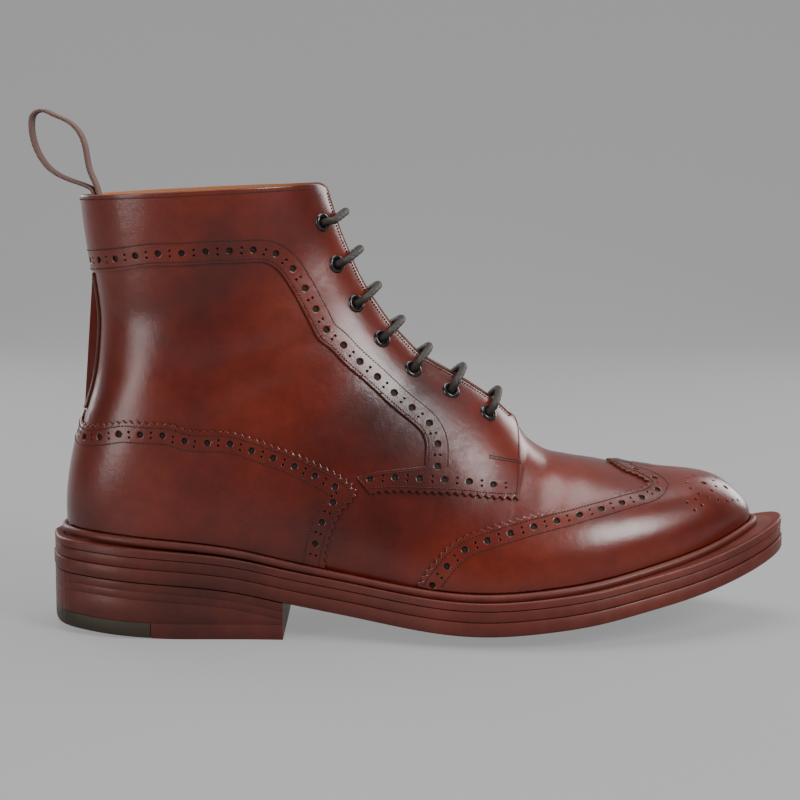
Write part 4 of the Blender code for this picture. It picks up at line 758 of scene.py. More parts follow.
def burnished_leather(name, dark, middle, light, roughness=0.30, coat=0.35):
    """Polished calf with hand-rubbed patches, fine grain and a wax shine."""
    made, tree, links, shader = principled(name, middle, roughness, 0.0, coat, 0.16)
    where = object_places(tree)
    patches = noise(tree, where, 14.0, 3.0, 0.5)
    colour = ramp(tree, patches, ((0.30, dark), (0.50, middle), (0.72, light)))
    fine = noise(tree, where, 160.0, 6.0, 0.65)
    streaks = ramp(tree, fine, ((0.35, (0.72, 0.66, 0.62)), (0.65, (1.0, 1.0, 1.0))))
    colour = mix(tree, 0.8, colour, streaks, "MULTIPLY")
    rubbed = tree.nodes.new("ShaderNodeAttribute")
    rubbed.attribute_name = "rubbed"
    colour = mix(tree, rubbed.outputs["Fac"], colour, dark)
    links.new(colour, shader.inputs["Base Color"])
    gloss = noise(tree, where, 60.0, 4.0, 0.6)
    spread = tree.nodes.new("ShaderNodeMapRange")
    spread.inputs["To Min"].default_value = roughness - 0.06
    spread.inputs["To Max"].default_value = roughness + 0.12
    links.new(gloss, spread.inputs["Value"])
    links.new(spread.outputs["Result"], shader.inputs["Roughness"])
    cells = tree.nodes.new("ShaderNodeTexVoronoi")
    cells.feature = "DISTANCE_TO_EDGE"
    cells.inputs["Scale"].default_value = 1500.0
    links.new(where, cells.inputs["Vector"])
    grain = bump(tree, cells.outputs["Distance"], 0.00012, 0.35)
    slow = noise(tree, where, 220.0, 3.0, 0.5)
    normal = bump(tree, slow, 0.0003, 0.35, grain)
    links.new(normal, shader.inputs["Normal"])
    links.new(normal, shader.inputs["Coat Normal"])
    return made


LEATHER = burnished_leather("upper_leather", (0.034, 0.0026, 0.0010), (0.098, 0.0075, 0.0022),
                            (0.150, 0.0165, 0.0050))
DARK_LEATHER = burnished_leather("edge_leather", (0.020, 0.004, 0.002), (0.055, 0.010, 0.005),
                                 (0.080, 0.018, 0.009), 0.60, 0.0)
THREAD, _, _, _ = principled("thread", (0.030, 0.006, 0.003), 0.55)
CUT_EDGE, _, _, _ = principled("cut_edge", (0.130, 0.036, 0.015), 0.6)
# Near-black under the punched holes: painted shade over the upper's own leather there
HOLE_SHADE_PAINT, _, _, _ = principled("painted_shade_in_holes", (0.010, 0.003, 0.002), 0.7)


def make(name, points, faces, material, normals=None, edges_sharp=None):
    """New mesh object riding on the boot."""
    mesh = bpy.data.meshes.new(name)
    corners = (np.asarray(points) + SHIFT).tolist()
    mesh.from_pydata(corners, [], [list(map(int, face)) for face in faces])
    mesh.materials.append(material)
    mesh.shade_smooth()
    if edges_sharp:
        mesh.set_sharp_from_angle(angle=math.radians(edges_sharp))
    made = bpy.data.objects.new(name, mesh)
    bpy.context.scene.collection.objects.link(made)
    if normals is not None:
        mesh.normals_split_custom_set(normals)
    return made


def paint(item, values):
    """A share for each corner, which the leather uses as how far it is rubbed dark."""
    layer = item.data.attributes.new("rubbed", "FLOAT", "POINT")
    layer.data.foreach_set("value", np.asarray(values, np.float32))


def rubbed(points):
    """How dark the leather is rubbed: toe tip, heel foot and feather line."""
    x, z = points[:, 0], points[:, 2]
    up = z - seat(x)
    toe = np.clip((x - 0.262) / 0.038, 0, 1) ** 1.3 * 0.65
    heel = np.clip((0.030 - x) / 0.03, 0, 1) * np.clip((0.045 - up) / 0.045, 0, 1) * 0.6
    foot = np.clip((0.012 - up) / 0.012, 0, 1) * 0.7
    return np.clip(np.maximum.reduce((toe, heel, foot)), 0, 0.85)


RISE = 0.25 * OVERLAY_THICKNESS     # how far a panel's edge rolls down
ON_SEAM = 1e-6
EDGE_ROLL = 0.00042         # width of the strip that rolls down along an edge


def inset_points(side, loop):
    """Points just inside a panel's edge, so that only the edge itself rolls down."""
    closed = np.concatenate((loop, loop[:1]))
    found = np.concatenate([beside(side, closed, sign * EDGE_ROLL, 0.0011) for sign in (-1, 1)])
    edge = walk(side, closed, 0.0004)[1]
    points = surface(side, found[:, 0], found[:, 1])[0]
    gap = np.concatenate([np.linalg.norm(part[:, None] - edge, axis=2).min(axis=1)
                          for part in np.array_split(points, 12)])
    return found[(gap > 0.8 * EDGE_ROLL) & (found[:, 1] < 0.999) & (found[:, 1] > 0.001)]


def panel(side, loop, holes, low, high, step=(0.0062, 0.021)):
    """Points, faces, corner normals and rubbed shares of a leather panel with its holes."""
    loop = np.asarray(loop, float)
    loops = [loop] + [np.asarray(hole) for hole in holes]
    places = np.arange(loop[:, 0].min() + step[0] / 2, loop[:, 0].max(), step[0])
    shares = np.arange(loop[:, 1].min() + step[1] / 2, min(loop[:, 1].max(), 1.0), step[1])
    grid = np.stack(np.meshgrid(places, shares, indexing="ij"), -1).reshape(-1, 2)
    grid = grid[inside(loop, grid)]
    if len(holes):
        middles = np.array([hole.mean(axis=0) for hole in loops[1:]])
        radii = np.array([np.abs(hole - hole.mean(axis=0)).max(axis=0) for hole in loops[1:]])
        gap = np.abs(grid[:, None] - middles) / radii
        grid = grid[(np.hypot(gap[..., 0], gap[..., 1]) > 1.5).all(axis=1)]
    collars = [hole.mean(axis=0) + (hole - hole.mean(axis=0)) * 1.28 for hole in loops[1:]]
    grid = np.concatenate([grid, inset_points(side, loop)] + collars)
    grid = grid[inside(loop, grid)]
    flat, edges = [], []
    for line in loops:
        first = len(flat)
        flat += list(line)
        edges += [(first + k, first + (k + 1) % len(line)) for k in range(len(line))]
    rim = len(flat)
    flat = np.concatenate((np.array(flat), grid))
    found = delaunay_2d_cdt([Vector(point) for point in flat * FLAT], edges, [], 0, 1e-7)
    spots = np.array([point[:] for point in found[0]]) / FLAT
    triangles = np.array([list(face) for face in found[2] if len(face) == 3])
    centres = spots[triangles].mean(axis=1)
    keep = inside(loop, centres)
    for hole in loops[1:]:
        near = np.abs(centres - hole.mean(axis=0)).max(axis=1) < 0.05
        keep[near] &= ~inside(hole, centres[near])
    triangles = triangles[keep]
    on_rim = np.array([any(origin < rim for origin in origins) for origins in found[3]])
    seam = (spots[:, 1] > 1 - ON_SEAM) | (spots[:, 1] < ON_SEAM)
    height = np.where(on_rim & ~seam, high - RISE, high)
    points, normals = surface(side, spots[:, 0], spots[:, 1], height)
    a, b, c = (points[triangles[:, k]] for k in range(3))
    facing_in = (np.cross(b - a, c - a) * normals[triangles[:, 0]]).sum(1) < 0
    triangles[facing_in] = triangles[facing_in][:, ::-1]
    directed = {(int(face[k]), int(face[(k + 1) % 3])) for face in triangles for k in range(3)}
    border = [(p, q) for p, q in directed if (q, p) not in directed and not (seam[p] and seam[q])]
    low_points = surface(side, spots[:, 0], spots[:, 1], low)[0]
    total = len(points)
    walls = [(q, p, p + total, q + total) for p, q in border]
    outward = np.zeros((total, 3))
    for p, q in border:
        way = np.cross(points[q] - points[p], normals[p])
        outward[[p, q]] += way
    size = np.linalg.norm(outward, axis=1)
    outward = outward / np.maximum(size, 1e-12)[:, None]
    tilt = normals + 0.55 * outward * (size > 0)[:, None]
    wall_normals = outward[[k for p, q in border for k in (q, p, p, q)]]
    corner_normals = np.concatenate((tilt[triangles.reshape(-1)], wall_normals))
    corner_normals = corner_normals / np.maximum(np.linalg.norm(corner_normals, axis=1), 1e-9)[:, None]
    faces = [list(face) for face in triangles] + walls
    return np.concatenate((points, low_points)), faces, corner_normals, np.tile(rubbed(points), 2)


def joined(name, pieces, material):
    """One object of several panels."""
    points, faces, normals, values, start = [], [], [], [], 0
    for piece in pieces:
        points.append(piece[0])
        faces += [[corner + start for corner in face] for face in piece[1]]
        normals.append(piece[2])
        values.append(piece[3])
        start += len(piece[0])
    made = make(name, np.concatenate(points), faces, material, np.concatenate(normals).tolist())
    made.data.materials.append(CUT_EDGE)
    made.data.polygons.foreach_set("material_index", [int(len(face) == 4) for face in faces])
    paint(made, np.concatenate(values))
    return made


# Stitches and punched holes along the panels' edges
STITCH_PITCH = 0.00130
STITCH_LENGTH = 0.00100
STITCH_RADIUS = 0.00031
STITCH_UP = PROUD - 0.00003     # just sunk into the leather
STITCH_SIDES = 6
STITCH_RINGS = ((-0.5, 0.35), (-0.25, 1.0), (0.25, 1.0), (0.5, 0.35))  # shares of length and radius
BIG_HOLE = 0.00145
SMALL_HOLE = 0.00055
SMALL_APART = 0.00115       # of each small hole from the row's middle
HOLE_PITCH = 0.0098
# Distances inward from a pinked edge, a plain edge, the band's edge and the other edges
PINKED_STITCHES = (0.0025, 0.0092)
PINKED_HOLES = 0.0057
PLAIN_STITCHES = (0.0013, 0.0093)
PLAIN_HOLES = 0.0050
BAND_STITCH = 0.0026
BAND_HOLES = 0.0065
SEAM_STITCH = 0.0014
RIM_STITCH = 0.0016
BAR_GAP = 0.0011            # between the two lines of the bar of stitches
LINE_STEP = 0.0008          # of lines that are eased or measured from
PROBE = 0.0012              # step that tells the inside of a panel from the outside
stitches = {"points": [], "faces": [], "count": 0}


def tube_faces(rings, sides, capped=False, first=0):
    """Faces of a tube of rings of corners, with its ends closed where capped."""
    starts = first + np.arange(rings - 1)[:, None] * sides
    a = starts + np.arange(sides)
    b = starts + (np.arange(sides) + 1) % sides
    faces = np.stack((a, b, b + sides, a + sides), axis=-1).reshape(-1, 4).tolist()
    if capped:
        last = first + (rings - 1) * sides
        faces.append(list(range(first + sides - 1, first - 1, -1)))
        faces.append(list(range(last, last + sides)))
    return faces


def stitch_row(side, line):
    """A row of single stitches, each a small capsule lying along the line."""
    _, points, ways, normals = walk(side, line, STITCH_PITCH)
    points = points + normals * STITCH_UP
    middles = (points[1:] + points[:-1]) / 2
    ways, normals = ways[:-1], normals[:-1]
    across = np.cross(normals, ways)
    turn = np.arange(STITCH_SIDES) * 2 * math.pi / STITCH_SIDES
    block = []
    for along, wide in STITCH_RINGS:
        radius = STITCH_RADIUS * wide
        for angle in turn:
            block.append(ways * along * STITCH_LENGTH + across * math.cos(angle) * radius
                         + normals * (math.sin(angle) * radius + STITCH_RADIUS * 0.2))
    block = middles[:, None] + np.stack(block, 1)
    corners = block.shape[1]
    faces = np.array(tube_faces(len(STITCH_RINGS), STITCH_SIDES))
    start = stitches["count"] + np.arange(len(middles)) * corners
    stitches["points"].append(block.reshape(-1, 3))
    stitches["faces"].append((faces[None] + start[:, None, None]).reshape(-1, 4))
    stitches["count"] += corners * len(middles)


def brogue_row(side, line):
    """Loops of one row of punched holes: large ones with pairs of small ones between."""
    spots, _, ways, normals = walk(side, line, HOLE_PITCH)
    left = np.cross(normals, ways)
    loops = [ring_of(side, spot, BIG_HOLE, 12) for spot in spots]
    gaps = np.diff(spots, axis=0) / 2
    for k, spot in enumerate(spots[:-1] + gaps):
        pair = moved(side, np.repeat(spot[None], 2, 0), np.array((left[k], -left[k])) * SMALL_APART)
        loops += [ring_of(side, one, SMALL_HOLE, 8) for one in pair]
    return loops


def eased(side, line, reach=0.0035):
    """A line with its bends eased over a reach, its ends kept."""
    spots = walk(side, line, LINE_STEP)[0]
    width = int(3 * reach / LINE_STEP)
    weights = np.exp(-(np.arange(-width, width + 1) * LINE_STEP / reach) ** 2 / 2)
    weights /= weights.sum()
    before = 2 * spots[0] - spots[width:0:-1]
    after = 2 * spots[-1] - spots[-2:-width - 2:-1]
    padded = np.concatenate((before, spots, after))
    return np.column_stack([np.convolve(padded[:, k], weights, "valid") for k in (0, 1)])[::2]


def inward(side, loop, line):
    """1 where a panel lies to the left of one of its edges, otherwise -1."""
    return 1 if inside(loop, beside(side, line, PROBE)).mean() > 0.5 else -1


def trimmed(side, loop, line, distance):
    """A line on a panel at a distance inward from an edge, cut where the edge comes nearer."""
    found = beside(side, line, inward(side, loop, line) * distance)
    edge = walk(side, line, LINE_STEP)[1]
    points = surface(side, found[:, 0], found[:, 1])[0]
    gap = np.linalg.norm(points[:, None] - edge, axis=2).min(axis=1)
    return found[(gap > 0.95 * distance) & inside(loop, found)]


def toothed(side, loop, line):
    """A pinked edge with its teeth cut into the panel."""
    return gimped(side, line, TEETH_PITCH, inward(side, loop, line) * TEETH_DEPTH)


TEETH_PITCH = 0.0032
TEETH_DEPTH = 0.0014
CORNER_AT = 1 - COLLAR_CORNER / PANEL_LENGTH
OVERLAY_FOOT = WELT_THICKNESS + RIB_HEIGHT + 0.0006
# Sheets of painted shade under the punched holes
shade_sheets = {"points": [], "faces": [], "count": 0}


def done(made, *nodes):
    """Lets a finished piece ride on the boot in place of the solids it stands for."""
    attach(made, "root")
    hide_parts(*nodes)


def paint_hole_shade(side, loops):
    """Near-black sheets just over the upper under the punched holes: painted shade in place of the
    leather seen through them.
    """
    for loop in loops:
        points, _ = surface(side, loop[:, 0], loop[:, 1], CLEARANCE * 0.8)
        start = shade_sheets["count"]
        shade_sheets["points"].append(points)
        shade_sheets["faces"].append([start + k for k in range(len(loop))])
        shade_sheets["count"] += len(loop)


def throat_share(side, place):
    """Share at which the throat's edge lies, 1 where the upper is closed over the ridge."""
    if place <= THROAT_AT + 1e-6:
        return 1.0
    opening = min((place - THROAT_AT) / THROAT_ROUND, 1)
    half = THROAT_GAP / 2 * math.sqrt(1 - (1 - opening) ** 2)
    down = min((1 - place) * PANEL_LENGTH, COLLAR_CORNER)
    corner = COLLAR_CORNER - math.sqrt(COLLAR_CORNER ** 2 - (COLLAR_CORNER - down) ** 2)
    return from_ridge(side, place, half + corner)


def throat_line(side, first=THROAT_AT, setback=0.0):
    """Places and shares of the throat's edge, from its foot up to the collar."""
    rise = THROAT_AT + THROAT_ROUND * (1 - np.cos(np.linspace(0, math.pi / 2, 14)))
    run = np.linspace(THROAT_AT + THROAT_ROUND, CORNER_AT, 80)[1:-1]
    turn = CORNER_AT + (1 - CORNER_AT) * np.sin(np.linspace(0, math.pi / 2, 12))
    places = np.concatenate((rise, run, turn))
    places = places[places >= first - 1e-9]
    return np.array([(place, throat_share(side, place) - setback) for place in places])


def grid_faces(rows, columns):
    """Faces of a grid of points."""
    i, j = np.meshgrid(np.arange(rows - 1), np.arange(columns - 1), indexing="ij")
    a = (i * columns + j).ravel()
    return np.column_stack((a, a + 1, a + columns + 1, a + columns))


def outward_faces(points, faces, normals):
    """Faces turned so that they look along the normals."""
    a, b, c = (points[faces[:, k]] for k in range(3))
    into = (np.cross(b - a, c - a) * normals[faces[:, 0]]).sum() < 0
    return faces[:, ::-1] if into else faces


# Upper: its outside, the lining and the rims between them
LINING, lining_tree, lining_links, lining_shader = principled("lining", (0.36, 0.125, 0.045), 0.62)
lining_place = object_places(lining_tree)
lining_links.new(mix(lining_tree, noise(lining_tree, lining_place, 45.0), (0.30, 0.10, 0.036),
                     (0.44, 0.165, 0.065)), lining_shader.inputs["Base Color"])
lining_links.new(bump(lining_tree, noise(lining_tree, lining_place, 900.0), 0.0002, 0.4),
                 lining_shader.inputs["Normal"])


CLOSED_ROWS = 129           # in front of the throat
SHELL_COLUMNS = 72


def shell(side):
    """Outside, inside and rims of one side of the upper."""
    throat = throat_line(side)
    rows = [(place, 1.0) for place in np.linspace(0, THROAT_AT, CLOSED_ROWS + 1)[:-1]]
    rows = np.concatenate((rows, throat))
    columns = np.linspace(0, 1, SHELL_COLUMNS)
    places = np.repeat(rows[:, 0], len(columns))
    shares = (rows[:, 1][:, None] * columns).ravel()
    outer, normals = surface(side, places, shares)
    inner = outer - normals * UPPER_WALL
    faces = outward_faces(outer, grid_faces(len(rows), len(columns)), normals)
    inner_faces = faces[:, ::-1] + len(outer)
    width = SHELL_COLUMNS
    rim = [k * width + width - 1 for k in range(CLOSED_ROWS, len(rows))]
    rim += [(len(rows) - 1) * width + j for j in range(width - 2, -1, -1)]
    walls = [(a, b, b + len(outer), a + len(outer)) for a, b in zip(rim, rim[1:])]
    if side > 0:
        walls = [wall[::-1] for wall in walls]
    values = rubbed(outer)
    return np.concatenate((outer, inner)), faces.tolist(), inner_faces.tolist(), walls, values


outside, inside_faces, outside_faces, rim_faces, rub, start = [], [], [], [], [], 0
for side in (-1, 1):
    points, faces, inner_faces, walls, values = shell(side)
    outside.append(points)
    outside_faces += [[corner + start for corner in face] for face in faces]
    inside_faces += [[corner + start for corner in face] for face in inner_faces]
    rim_faces += [[corner + start for corner in face] for face in walls]
    rub += [values, values]
    start += len(points)
upper_made = make("upper_leather", np.concatenate(outside),
                  outside_faces + rim_faces + inside_faces, LEATHER, edges_sharp=50)
upper_made.data.materials.append(LINING)
upper_made.data.materials.append(DARK_LEATHER)
index = [0] * len(outside_faces) + [2] * len(rim_faces) + [1] * len(inside_faces)
upper_made.data.polygons.foreach_set("material_index", index)
paint(upper_made, np.concatenate(rub))
done(upper_made, "upper")

# Overlays: heights of their undersides and faces over the last
LOW, HIGH = CLEARANCE, PROUD
cap, counter, strap, facing_parts = [], [], [], {}
# Holes of the medallion in mm: ahead of its place on the last, and outward from the ridge
MEDALLION = (
    (-9.2, 27.5), (-6.2, 28.5), (-2.9, 25.8), (0.7, 21.7), (5.2, 19.7), (8.8, 16.9), (11.9, 13.3),
    (14.8, 9.6), (-5.2, 24.8), (-3.4, 22.1), (-6.8, 20.6), (-8.2, 17.3), (-6.9, 12.8), (-3.9, 9.7),
    (0.5, 8.5), (6.2, 5.5), (4.1, 10.5), (4.8, 14.0), (2.6, 17.7),
)
MEDALLION_LONG = ((-0.3, 14.9), (9.6, 9.9))
MEDALLION_AT = 0.277
SECTION_POINTS = 181
# Bar of stitches at the foot of the throat: x as a share of the last, height over the floor
BAR_STITCH = ((0.608, 0.0756), (0.655, 0.0722))


def toe_spot(side, ahead, outward):
    """Place and share of a plan position on the toe, outward from the ridge."""
    x = MEDALLION_AT + ahead / 1000
    place = float(np.interp(-x, -FINE_X[:, -1], TABLE_FLAT))
    line = surface(side, np.full(SECTION_POINTS, place), np.linspace(0, 1, SECTION_POINTS))[0]
    away = np.abs(line[:, 1] - line[-1, 1])[::-1]
    top = int(away.argmax())
    share = np.interp(outward / 1000, away[:top], np.linspace(1, 0, SECTION_POINTS)[:top])
    return np.array((place, float(share)))


for side in (-1, 1):
    toe, heel = level_ends(OVERLAY_FOOT)
    peak = float(np.interp(-CAP_PEAK * LAST_LENGTH, -FINE_X[:, -1], TABLE_FLAT))
    wing = outline(CAP_EDGE)
    foot = level(OVERLAY_FOOT, wing[-1][0], toe, 90)[1:-1]
    edge = np.concatenate((smooth([(peak, 1.0)] + list(wing[:3]), 2), eased(side, wing[2:])[1:]))
    rough = np.concatenate((edge, foot, [(toe, 1.0)]))
    loop = np.concatenate((toothed(side, rough, edge), foot, [(toe, 1.0)]))
    holes = brogue_row(side, trimmed(side, rough, edge, PINKED_HOLES))
    for distance in PINKED_STITCHES:
        stitch_row(side, trimmed(side, rough, edge, distance))
    for ahead, outward in MEDALLION:
        holes.append(ring_of(side, toe_spot(side, ahead, outward), SMALL_HOLE * 1.1, 8))
    for ahead, outward in MEDALLION_LONG:
        holes.append(ring_of(side, toe_spot(side, ahead, outward), SMALL_HOLE * 1.6, 10, 1.5))
    holes = [hole for hole in holes if inside(rough, hole).all() and hole[:, 1].max() < 0.995]
    cap.append(panel(side, loop, holes, LOW, HIGH))
    paint_hole_shade(side, holes)

    edge = np.concatenate(([(back_place(COUNTER_TOP), 0.0)], outline(COUNTER_EDGE)))
    edge = eased(side, edge)
    foot = level(OVERLAY_FOOT, heel, edge[-1][0], 90)[::-1][1:-1]
    rough = np.concatenate((edge, foot, [(heel, 0.0)]))
    loop = np.concatenate((toothed(side, rough, edge), foot, [(heel, 0.0)]))
    holes = brogue_row(side, trimmed(side, rough, edge, PINKED_HOLES))
    holes = [hole for hole in holes if inside(rough, hole).all() and hole[:, 1].min() > 0.004]
    for distance in PINKED_STITCHES:
        stitch_row(side, trimmed(side, rough, edge, distance))
    counter.append(panel(side, loop, holes, LOW, HIGH))
    paint_hole_shade(side, holes)

    low_end = back_place(COUNTER_TOP + STRAP_END_GAP)
    high_end = back_place(FACING_BACK - STRAP_END_GAP)
    strap_edge = np.array([(place, from_back(side, place, BACK_STRAP_WIDTH / 2))
                           for place in np.linspace(low_end, high_end, 40)])
    rough = np.concatenate(([(low_end, 0.0)], strap_edge, [(high_end, 0.0)]))
    stitch_row(side, trimmed(side, rough, strap_edge, SEAM_STITCH))
    strap.append(panel(side, rough, [], LOW, HIGH))

    seam = from_back(side, 1.0, 2 * CLEARANCE)
    throat = throat_line(side, FACING_FROM, FACING_SETBACK)[::-1]
    collar = np.column_stack((np.ones(50), np.linspace(seam, throat[0][1], 50)))[:-1]
    tab = smooth(outline(FACING_TAB), 2)
    band = eased(side, np.concatenate((tab[-1:], outline(FACING_BAND))))
    inner = np.concatenate((outline(FACING_INNER), [(back_place(FACING_BACK), seam)]))
    upper_inner = eased(side, inner[3:])
    lower_inner = smooth(inner[:4], 2)
    rough = np.concatenate((collar, throat, tab, band[1:], lower_inner[:-1], upper_inner))
    pinked = toothed(side, rough, band)
    loop = np.concatenate((collar, throat, tab, pinked[1:], lower_inner[:-1], upper_inner))
    holes = brogue_row(side, trimmed(side, rough, upper_inner, PLAIN_HOLES))
    holes += brogue_row(side, trimmed(side, rough, band, BAND_HOLES))
    holes = [hole for hole in holes if inside(rough, hole).all()]
    for line, distance in ((upper_inner, PLAIN_STITCHES[0]), (upper_inner, PLAIN_STITCHES[1]),
                           (lower_inner, PLAIN_STITCHES[0]), (band, BAND_STITCH), (tab, SEAM_STITCH),
                           (throat[11:], RIM_STITCH), (collar[1:], RIM_STITCH)):
        stitch_row(side, trimmed(side, rough, line, distance))
    bar = [find(x * LAST_LENGTH, z - seat(np.array([x * LAST_LENGTH]))[0]) for x, z in BAR_STITCH]
    for shift in (0.0, BAR_GAP):
        stitch_row(side, beside(side, bar, shift))
    facing_parts[side] = (loop, holes, rough)
    paint_hole_shade(side, holes)

# Eyelets: point, direction and place of each, from the collar down


def eyelet_line(side):
    """Point, outward direction, place and share of each eyelet on a side, from the collar down."""
    places = np.linspace(1, THROAT_AT, 200)
    shares = np.array([from_ridge(side, place, THROAT_GAP / 2 + EYELET_EDGE) for place in places])
    line, normals = surface(side, places, shares)
    run = np.concatenate(([0], np.cumsum(np.linalg.norm(np.diff(line, axis=0), axis=1))))
    stops = EYELET_TOP + np.arange(EYELET_COUNT) * EYELET_PITCH
    return [(*surface(side, np.interp(stop, run, places), np.interp(stop, run, shares)),
             float(np.interp(stop, run, places)), float(np.interp(stop, run, shares))) for stop in stops]


ENAMEL, _, _, _ = principled("black_enamel", (0.012, 0.010, 0.010), 0.22, 0.3, 0.6, 0.08)
RIM_METAL, _, _, _ = principled("worn_rim", (0.32, 0.29, 0.26), 0.28, 1.0)
BORE = EYELET_BORE / 2
FLANGE = EYELET_DIAMETER / 2
# Radius and height over the facing
EYELET_PROFILE = (
    (BORE - 0.0001, -0.0034), (BORE - 0.0001, 0.0001), (BORE, 0.00045), (BORE + 0.00025, 0.0007),
    (BORE + 0.0007, 0.00092), (BORE + 0.00115, 0.0008), (FLANGE - 0.0002, 0.00035), (FLANGE, 0.0),
    (FLANGE, -0.0003), (BORE + 0.0004, -0.0004), (BORE + 0.0003, -0.0034),
)
RIM_FACES = 3


def turned(point, normal, profile, sides):
    """Points and faces of a ring turned about a direction."""
    first = np.cross(normal, (0.3, 0.1, 0.9))
    first = first / np.linalg.norm(first)
    second = np.cross(normal, first)
    angle = np.linspace(0, 2 * math.pi, sides, endpoint=False)[:, None, None]
    radii = np.array([radius for radius, _ in profile])[None, :, None]
    heights = np.array([height for _, height in profile])[None, :, None]
    points = point + (first * np.cos(angle) + second * np.sin(angle)) * radii + normal * heights
    count = len(profile)
    faces = []
    for k in range(sides):
        for j in range(count):
            a, b = k * count + j, (k + 1) % sides * count + j
            c, d = (k + 1) % sides * count + (j + 1) % count, k * count + (j + 1) % count
            faces.append((a, d, c, b))
    return points.reshape(-1, 3), faces


eyelets = {side: eyelet_line(side) for side in (-1, 1)}
for side, name in ((-1, "lateral"), (1, "medial")):
    loop, holes, rough = facing_parts[side]
    bores = [ring_of(side, np.array(eyelet[2:]), BORE + CLEARANCE, 16) for eyelet in eyelets[side]]
    made = joined("facing_leather_" + name, [panel(side, loop, holes + bores, LOW, HIGH)], LEATHER)
    done(made, "facing_" + name)
    for k, (point, normal, _, _) in enumerate(eyelets[side]):
        points, faces = turned(point + normal * (PROUD + 0.0001), normal, EYELET_PROFILE, 28)
        made = make(f"enamelled_eyelet_{name}_{k + 1}", points, faces, ENAMEL, edges_sharp=60)
        made.data.materials.append(RIM_METAL)
        bright = [int(n % len(EYELET_PROFILE) < RIM_FACES) for n in range(len(faces))]
        made.data.polygons.foreach_set("material_index", bright)
        done(made, f"eyelet_{name}_{k + 1}")

done(joined("toe_cap_leather", cap, LEATHER), "toe_cap")
done(joined("heel_counter_leather", counter, LEATHER), "heel_counter")
done(joined("back_strap_leather", strap, LEATHER), "back_strap")

# Tongue behind the throat
def tongue_depth(place):
    """Depth of the tongue's outside: against the upper at its foot, under the lace above."""
    near = UPPER_WALL + CLEARANCE
    far = UPPER_WALL + LACE_DIAMETER + 4 * LACE_SPACE
    ease = np.clip((place - TONGUE_FROM) / (FACING_FROM - TONGUE_FROM), 0, 1)
    return near + (far - near) * ease * ease * (3 - 2 * ease)


tongue_places = np.linspace(TONGUE_FROM, TONGUE_TO, 130)
halves = []
for side in (-1, 1):
    starts = np.array([from_ridge(side, place, TONGUE_WIDTH / 2) for place in tongue_places])
    part = starts[:, None] + (1 - starts)[:, None] * np.linspace(0, 1, 19)
    places = np.repeat(tongue_places, 19)
    depth = tongue_depth(places)
    top, normals = surface(side, places, part.ravel(), -depth)
    under = top - normals * TONGUE_THICKNESS
    halves.append((top.reshape(130, 19, 3), under.reshape(130, 19, 3)))
over = np.concatenate((halves[0][0], halves[1][0][:, -2::-1]), axis=1)
beneath = np.concatenate((halves[0][1], halves[1][1][:, -2::-1]), axis=1)
loop_grid = np.concatenate((over, beneath[:, ::-1], over[:, :1]), axis=1)
faces = grid_faces(130, loop_grid.shape[1])
tongue_made = make("tongue_leather", loop_grid.reshape(-1, 3), faces, LEATHER, edges_sharp=50)
done(tongue_made, "tongue")

# Sole: layers inside the outline, seen from above
SOLE_ACROSS = np.linspace(0, 1, 15)
SOLE_EDGE = burnished_leather("sole_edge", (0.044, 0.0060, 0.0034), (0.084, 0.0112, 0.0060),
                              (0.118, 0.0200, 0.0105), 0.50, 0.08)
UNDERSIDE = burnished_leather("tread_leather", (0.060, 0.018, 0.009), (0.120, 0.040, 0.019),
                              (0.190, 0.075, 0.035), 0.52, 0.05)
INSOLE_LEATHER = burnished_leather("insole_leather", (0.24, 0.10, 0.04), (0.34, 0.16, 0.07),
                                   (0.42, 0.22, 0.10), 0.6, 0.0)
RUBBER, rubber_tree, rubber_links, rubber_shader = principled("rubber", (0.026, 0.017, 0.010), 0.62)
rubber_links.new(bump(rubber_tree, noise(rubber_tree, object_places(rubber_tree), 1200.0), 0.0002, 0.4),
                 rubber_shader.inputs["Normal"])


def plan(inset, back, front, count=170):
    """x, left edge and right edge of a sole layer at stations from back to front."""
    turn = np.linspace(0, math.pi, count)
    if front is None:
        x = back + inset + (SOLE_FRONT - back - 2 * inset) * (1 - np.cos(turn)) / 2
    elif back <= SOLE_BACK:
        x = back + inset + (front - back - inset) * (1 - np.cos(turn / 2))
    else:
        x = np.linspace(back, front, count)
    return x, edge_y(x, -1, inset), edge_y(x, 1, inset)


def stacked(name, grids, material):
    """Solid between its lowest and highest grid of points, with the borders of all between."""
    border = [np.concatenate((g[:, 0], g[-1, 1:], g[-2::-1, -1], g[0, -2:0:-1])) for g in grids]
    points = np.concatenate([grids[0].reshape(-1, 3), grids[-1].reshape(-1, 3)] + border)
    size = grids[0].shape[0] * grids[0].shape[1]
    cover = grid_faces(*grids[0].shape[:2])
    faces = cover.tolist() + (cover[:, ::-1] + size).tolist()
    faces += tube_faces(len(border), len(border[0]), first=2 * size)
    return make(name, points, faces, material, edges_sharp=40)


def slab(name, profile, material, back=None, front=None):
    """Solid layer of the sole: insets and heights of its edge from below to above."""
    back = SOLE_BACK if back is None else back
    grids = []
    for inset, height in profile:
        x, left, right = plan(inset, back, front)
        y = left[:, None] + (right - left)[:, None] * SOLE_ACROSS
        xs = np.repeat(x, len(SOLE_ACROSS))
        grids.append(np.column_stack((xs, y.ravel(), height(xs, y.ravel()))).reshape(*y.shape, 3))
    return stacked(name, grids, material)


def at(height):
    """Surface at one level of the sole."""
    return lambda x, y: bed(x, y, height)


def tread(x, y):
    """Underside of the outsole, with its flat spot under the ball."""
    return np.maximum(bed(x, y, 0) - FLAT_SPOT_DEPTH, 0)


def raised(surface_of, height):
    """A surface lifted by a height."""
    return lambda x, y: surface_of(x, y) + height


